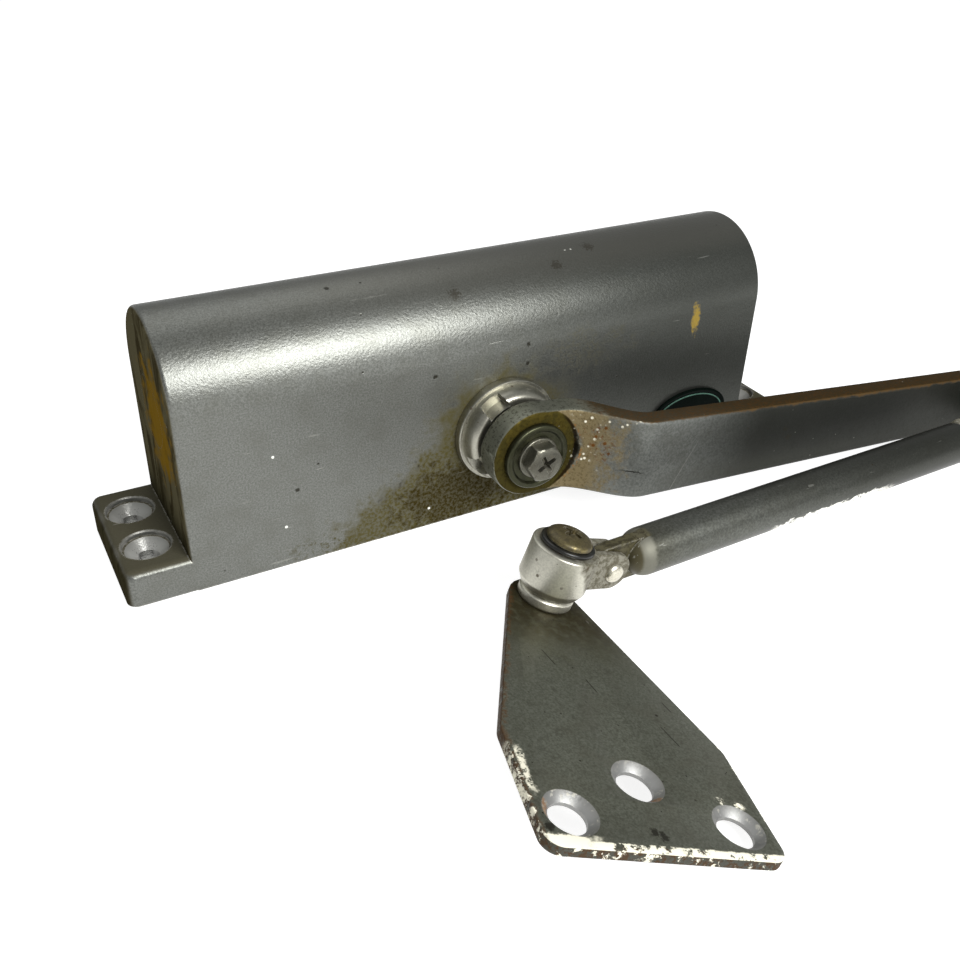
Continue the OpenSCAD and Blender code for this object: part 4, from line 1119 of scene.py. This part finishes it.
def dome_screw(seat, shank, turn):
    """A domed screw with a cross recess, drawn up Z from its seat."""
    rim, rise, radius = 0.6, 2.1, 6.2
    outline = [(0, seat - shank), (2.3, seat - shank), (2.5, seat - shank + 0.3), (2.5, seat),
               (radius - 0.2, seat),
               (radius, seat + 0.2), (radius, seat + rim)]
    for k in range(1, 12):
        t = math.pi / 2 * k / 12
        outline.append((radius * math.cos(t), seat + rim + rise * math.sin(t) ** 0.9))
    outline.append((0, seat + rim + rise))
    return cut(turned(outline), cross_cutter(seat + rim + rise, 2.9, 1.4, 2.0, turn))


def seal_ring(seat):
    """A soft ring with round shoulders under a screw."""
    return turned([(2.8, seat), (SEAL_R, seat), (SEAL_R, seat + SEAL_HEIGHT), (2.8, seat + SEAL_HEIGHT)],
                  [0, 0.45, 0.5, 0])


def elbow():
    """The stud, washer, knuckle, seal ring and screw at the far end of the arm."""
    stud = turned([(0, 41.2), (5.4, 41.2), (7.4, 43), (7.4, BAR_BACK - 2.7), (5, BAR_BACK - 2.6),
                   (5, 77.5), (0, 77.5)],
                  [0, 1.2, 0.8, 0.2, 0, 0.3, 0])
    piece("elbow_stud_turned", stud, ELBOW, "spindle_arm", "bright_steel", HEX_METAL, "elbow_stud")
    washer = turned([(5.05, BAR_FRONT), (8.4, BAR_FRONT), (8.4, BAR_FRONT + 1.3),
                     (5.05, BAR_FRONT + 1.3)],
                    [0, 0.3, 0.3, 0])
    piece("elbow_washer_disc", washer, ELBOW, "spindle_arm", "bright_steel", HEX_METAL, "elbow_washer")
    back = BAR_FRONT + 1.5
    knuckle = turned([(6.55, back), (9, back), (9, back + 5), (8.5, back + 5.4), (9, back + 5.8),
                      (9, KNUCKLE_FRONT),
                      (6.55, KNUCKLE_FRONT)], [0, 0.9, 0.2, 0.2, 0.2, 1.0, 0])
    piece("elbow_barrel", knuckle, ELBOW, "forearm_rod", "satin_nickel", DRUM_METAL, "elbow_knuckle")
    seat = KNUCKLE_FRONT + 0.15
    piece("elbow_seal", seal_ring(seat), ELBOW, "spindle_arm", "rubber", RUBBER, "elbow_ring")
    piece("elbow_dome", dome_screw(seat + SEAL_HEIGHT, 12, 0.6), ELBOW, "spindle_arm", "bright_steel",
          DOME_METAL, "elbow_screw")


# ---- forearm -------------------------------------------------------------

def forearm():
    """The tube with its turned shoulder and flat tongue, the jam nut and the threaded rod."""
    nose_at, steps = 12.8, 16
    nose = [math.pi / 2 * k / steps for k in range(steps + 1)]
    outline = [(TUBE_R * math.sin(a), nose_at - TUBE_R * math.cos(a)) for a in nose]
    outline += [(TUBE_R, TUBE_LENGTH - 0.6), (TUBE_R - 0.6, TUBE_LENGTH), (4.1, TUBE_LENGTH), (4.1, 60),
                (0, 60)]
    tube = turned(outline)
    half, back = 6.4, 15
    tongue = rounded([(-half, -half), (back, -half), (back, half), (-half, half)],
                     [half - 0.05, 0, 0, half - 0.05], 14)
    flat = moved(slab(tongue, -1.7, 1.7, 0.35),
                 Matrix(((0, 0, 1, 0), (0, -1, 0, 0), (1, 0, 0, 0), (0, 0, 0, 1))))
    bm = merged(tube, flat, "UNION")
    hole = turned([(0, -8), (2.35, -8), (2.35, 8), (0, 8)], None, 32)
    bm = cut(bm, moved(hole, Matrix.Rotation(math.pi / 2, 4, "Y")))
    piece("forearm_sleeve", bm, TUBE, "forearm", "tube_steel", TUBE_METAL, "forearm_tube")
    low = TUBE_LENGTH + 0.05
    levels = [(low, 6.4), (low + 0.3, 7.0), (low + 0.8, 7.42), (low + 5.7, 7.42), (low + 6.2, 7.0),
              (low + 6.5, 6.4)]
    bm = add_rings(bmesh.new(), hex_rings(13, levels))
    bm = cut(bm, turned([(0, low - 1), (4.06, low - 1), (4.06, low + 8), (0, low + 8)], None, 48))
    piece("jam_nut_hex", bm, TUBE, "forearm", "satin_nickel", DRUM_METAL, "jam_nut")
    rod()


def rod():
    """The threaded rod, with a real helical thread."""
    start, end, pitch, depth, steps = 92, ROD_REACH - 7.2, 1.25, 0.62, 24
    rows = int((end - start) / 0.18)
    rings = []
    for k in range(rows + 1):
        z = start + (end - start) * k / rows
        ring = []
        for i in range(steps):
            phase = (z / pitch - i / steps) % 1
            r = 3.98 - depth * smoothstep(0.1, 0.5, abs(phase - 0.5) * 1.1)
            ring.append((r * math.cos(math.tau * i / steps), r * math.sin(math.tau * i / steps), z))
        rings.append(ring)
    piece("rod_thread", add_rings(bmesh.new(), rings), TUBE, "forearm_rod", "bright_steel", ROD_METAL,
          "threaded_rod")


# ---- swivel and bracket --------------------------------------------------

def swivel():
    """The drum with its two lugs, and the rivet through them."""
    drum = turned([(6.55, DRUM_BOTTOM), (7.9, DRUM_BOTTOM), (DRUM_R, DRUM_BOTTOM + 2.1),
                   (DRUM_R, DRUM_TOP - 0.2),
                   (DRUM_R - 0.9, DRUM_TOP), (6.55, DRUM_TOP)], [0, 0.5, 1.2, 0.5, 0.5, 0.3])
    for side in (-1, 1):
        lug = rounded([(6.9, -5.6), (RIVET_REACH + 5.2, -5.2), (RIVET_REACH + 5.2, 5.2), (6.9, 5.6)],
                      [0, 5.15, 5.15, 0], 10)
        inner, outer = (2.0, 4.2)
        block = slab(lug, inner, outer, 0.4)
        stand = Matrix.Translation((0, 0, RIVET_HEIGHT)) @ Matrix.Rotation(math.pi / 2, 4, "X")
        if side > 0:
            block.transform(Matrix.Scale(-1, 4, Z))
        drum = merged(drum, moved(block, stand), "UNION")
    bore = turned([(0, 0), (6.55, 0), (6.55, 20), (0, 20)], None, 96)
    piece("swivel_drum", cut(drum, bore), FORK, "swivel", "satin_nickel", DRUM_METAL, "swivel_fork")
    dome = [(2.9 * math.cos(math.pi / 2 * k / 8), 4.2 + 1.7
             * math.sin(math.pi / 2 * k / 8)) for k in range(8)]
    outline = ([(0, -5.9)] + [(r, -z) for r, z in reversed(dome)] + [(2.3, -4.2), (2.3, 4.2)] + dome
               + [(0, 5.9)])
    piece("fork_rivet_domed", turned(outline, None, 48), RIVET, "swivel", "bright_steel", RIVET_METAL,
          "fork_rivet")


def pivot():
    """The riveted stud with its collar, the seal ring and the domed screw on top."""
    stud = turned([(0, -PLATE_THICKNESS), (5.4, -PLATE_THICKNESS), (4, 0), (COLLAR_R - 0.3, 0),
                   (COLLAR_R, 0.5),
                   (COLLAR_R, 2.4), (6.4, 3.3), (5, 3.3), (5, DRUM_TOP + 0.1), (0, DRUM_TOP + 0.1)],
                  [0, 0, 0, 0.2, 0.3, 0.5, 0.3, 0, 0.3, 0])
    piece("pivot_stud_turned", stud, FORK, "shoe", "satin_nickel", DRUM_METAL, "pivot_stud")
    seat = DRUM_TOP + 0.15
    piece("pivot_seal", seal_ring(seat), FORK, "shoe", "rubber", RUBBER, "pivot_ring")
    piece("pivot_dome", dome_screw(seat + SEAL_HEIGHT, 11, 0.3), FORK, "shoe", "bright_steel", DOME_METAL,
          "pivot_screw")


def spring():
    """The closing spring, squeezed between its seat and the piston."""
    node = frame["nodes"]["closing_spring"]
    bm = bmesh.new()
    bm.from_mesh(node.data)
    coil = piece("closing_coil", bm, node.matrix_world, None, "bare_steel", BARE_STEEL, "closing_spring")
    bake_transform(coil)


def plate():
    """The bracket plate with its three countersunk holes."""
    corners = [(-29.8, 0), (PLATE_SHOULDER, -28), (PLATE_LONG, -27.6), (PLATE_LONG, 27.6),
               (PLATE_SHOULDER, 28)]
    outline = rounded(corners, [9.8, 7, 4, 4, 7], 10)
    bm = slab(outline, -PLATE_THICKNESS, 0, 0.35, 3)
    for x, y in PLATE_HOLES:
        sink = turned([(0, -4), (4.5, -4), (4.2, -PLATE_THICKNESS), (4.2, -1.75), (5.9, -0.1),
                       (6.3, 0.05), (6.3, 2),
                       (0, 2)], None, 72)
        bm = cut(bm, moved(sink, Matrix.Translation((x, y, 0))))
    seat = turned([(0, -4), (5.45, -4), (5.45, -PLATE_THICKNESS), (4.05, 0), (4.05, 1), (0, 1)], None, 48)
    piece("bracket_sheet", cut(bm, seat), PLATE, "shoe", "plate_steel", PLATE_METAL, "bracket_plate")


piece("body_casting", casting(), BODY, "closer_body", "body_paint", PAINT, "housing")
badge()
castle_nut("front_nut_castle", FRONT, NOTCHES, NUT_METAL, "front_nut")
castle_nut("rear_nut_castle", BACK, NOTCHES, NUT_METAL, "rear_nut")
main_arm()
arm_fastener()
elbow()
forearm()
swivel()
pivot()
plate()
spring()

# The CAD nodes that stay as they are take their own materials
kept_nodes = {
    PAINT: ("end_cap", "spring_plug"),
    PLASTIC: ("rear_cap",),
    BARE_STEEL: ("spindle", "rack_piston", "spring_seat", "check_ball"),
    BRASS: ("front_bearing", "rear_bearing", "elbow_bush", "pivot_bush", "check_valve_seat",
            "closing_screw",
            "latch_screw"),
    RUBBER: ("end_cap_o_ring", "spring_plug_o_ring", "front_seal", "rear_seal", "closing_o_ring",
             "latch_o_ring"),
    PTFE: ("piston_ring",),
}
for material, names in kept_nodes.items():
    for name in names:
        mesh = frame["nodes"][name].data
        mesh.materials.clear()
        mesh.materials.append(material)


# ---- floor, camera and light ---------------------------------------------

def floor():
    """A pale floor just under the mounting face, lit a little from within."""
    bm = bmesh.new()
    bmesh.ops.create_grid(bm, x_segments=1, y_segments=1, size=6)
    mesh = bpy.data.meshes.new("floor")
    bm.to_mesh(mesh)
    bm.free()
    s = Shader("floor_white", specular=0.2)
    s.surface.inputs["Base Color"].default_value = (0.45, 0.45, 0.45, 1)
    s.surface.inputs["Roughness"].default_value = 0.8
    s.surface.inputs["Emission Color"].default_value = (1, 1, 1, 1)
    s.surface.inputs["Emission Strength"].default_value = 0.85
    mesh.materials.append(s.material)
    obj = bpy.data.objects.new("floor", mesh)
    obj.location = (0, 0, -0.0004)
    bpy.context.scene.collection.objects.link(obj)


def camera():
    """The camera at the viewing angle: its place, azimuth, down-tilt and roll."""
    place = Vector((-137.5, -249.2, 176.8)) * MM
    azimuth, tilt, roll = (math.radians(a) for a in (29.92, 32.3, 1.86))
    ahead = Vector((math.sin(azimuth) * math.cos(tilt), math.cos(azimuth) * math.cos(tilt),
                    -math.sin(tilt)))
    right = Vector((math.cos(azimuth), -math.sin(azimuth), 0))
    up = right.cross(ahead)
    rolled_right = right * math.cos(roll) + up * math.sin(roll)
    rolled_up = up * math.cos(roll) - right * math.sin(roll)
    data = bpy.data.cameras.new("camera")
    data.lens = 38.405
    data.sensor_width = 36
    data.clip_start = 0.01
    obj = bpy.data.objects.new("camera", data)
    axes = Matrix((rolled_right, rolled_up, -ahead)).transposed().to_4x4()
    obj.matrix_world = Matrix.Translation(place) @ axes
    bpy.context.scene.collection.objects.link(obj)
    bpy.context.scene.camera = obj


def area_light(name, place, target, size, watts):
    """A rectangular lamp that shines from a place towards a target, in metres."""
    data = bpy.data.lights.new(name, "AREA")
    data.shape = "RECTANGLE"
    data.size, data.size_y = size
    data.energy = watts
    obj = bpy.data.objects.new(name, data)
    obj.location = place
    obj.rotation_euler = (Vector(target) - Vector(place)).to_track_quat("-Z", "Y").to_euler()
    bpy.context.scene.collection.objects.link(obj)


def lighting():
    """Two soft lamps and a dim surrounding, seen through the Standard view."""
    bpy.context.scene.view_settings.view_transform = "Standard"
    world = bpy.data.worlds.new("studio")
    world.use_nodes = True
    world.node_tree.nodes["Background"].inputs["Color"].default_value = (0.93, 0.95, 0.94, 1)
    world.node_tree.nodes["Background"].inputs["Strength"].default_value = 0.35
    bpy.context.scene.world = world
    area_light("key_light", (0.06, -0.56, 0.42), (-0.05, -0.02, 0.05), (0.38, 0.27), 6.0)
    area_light("top_light", (-0.1, 0.4, 0.8), (-0.02, 0, 0.03), (0.9, 0.6), 2.0)


floor()
camera()
lighting()
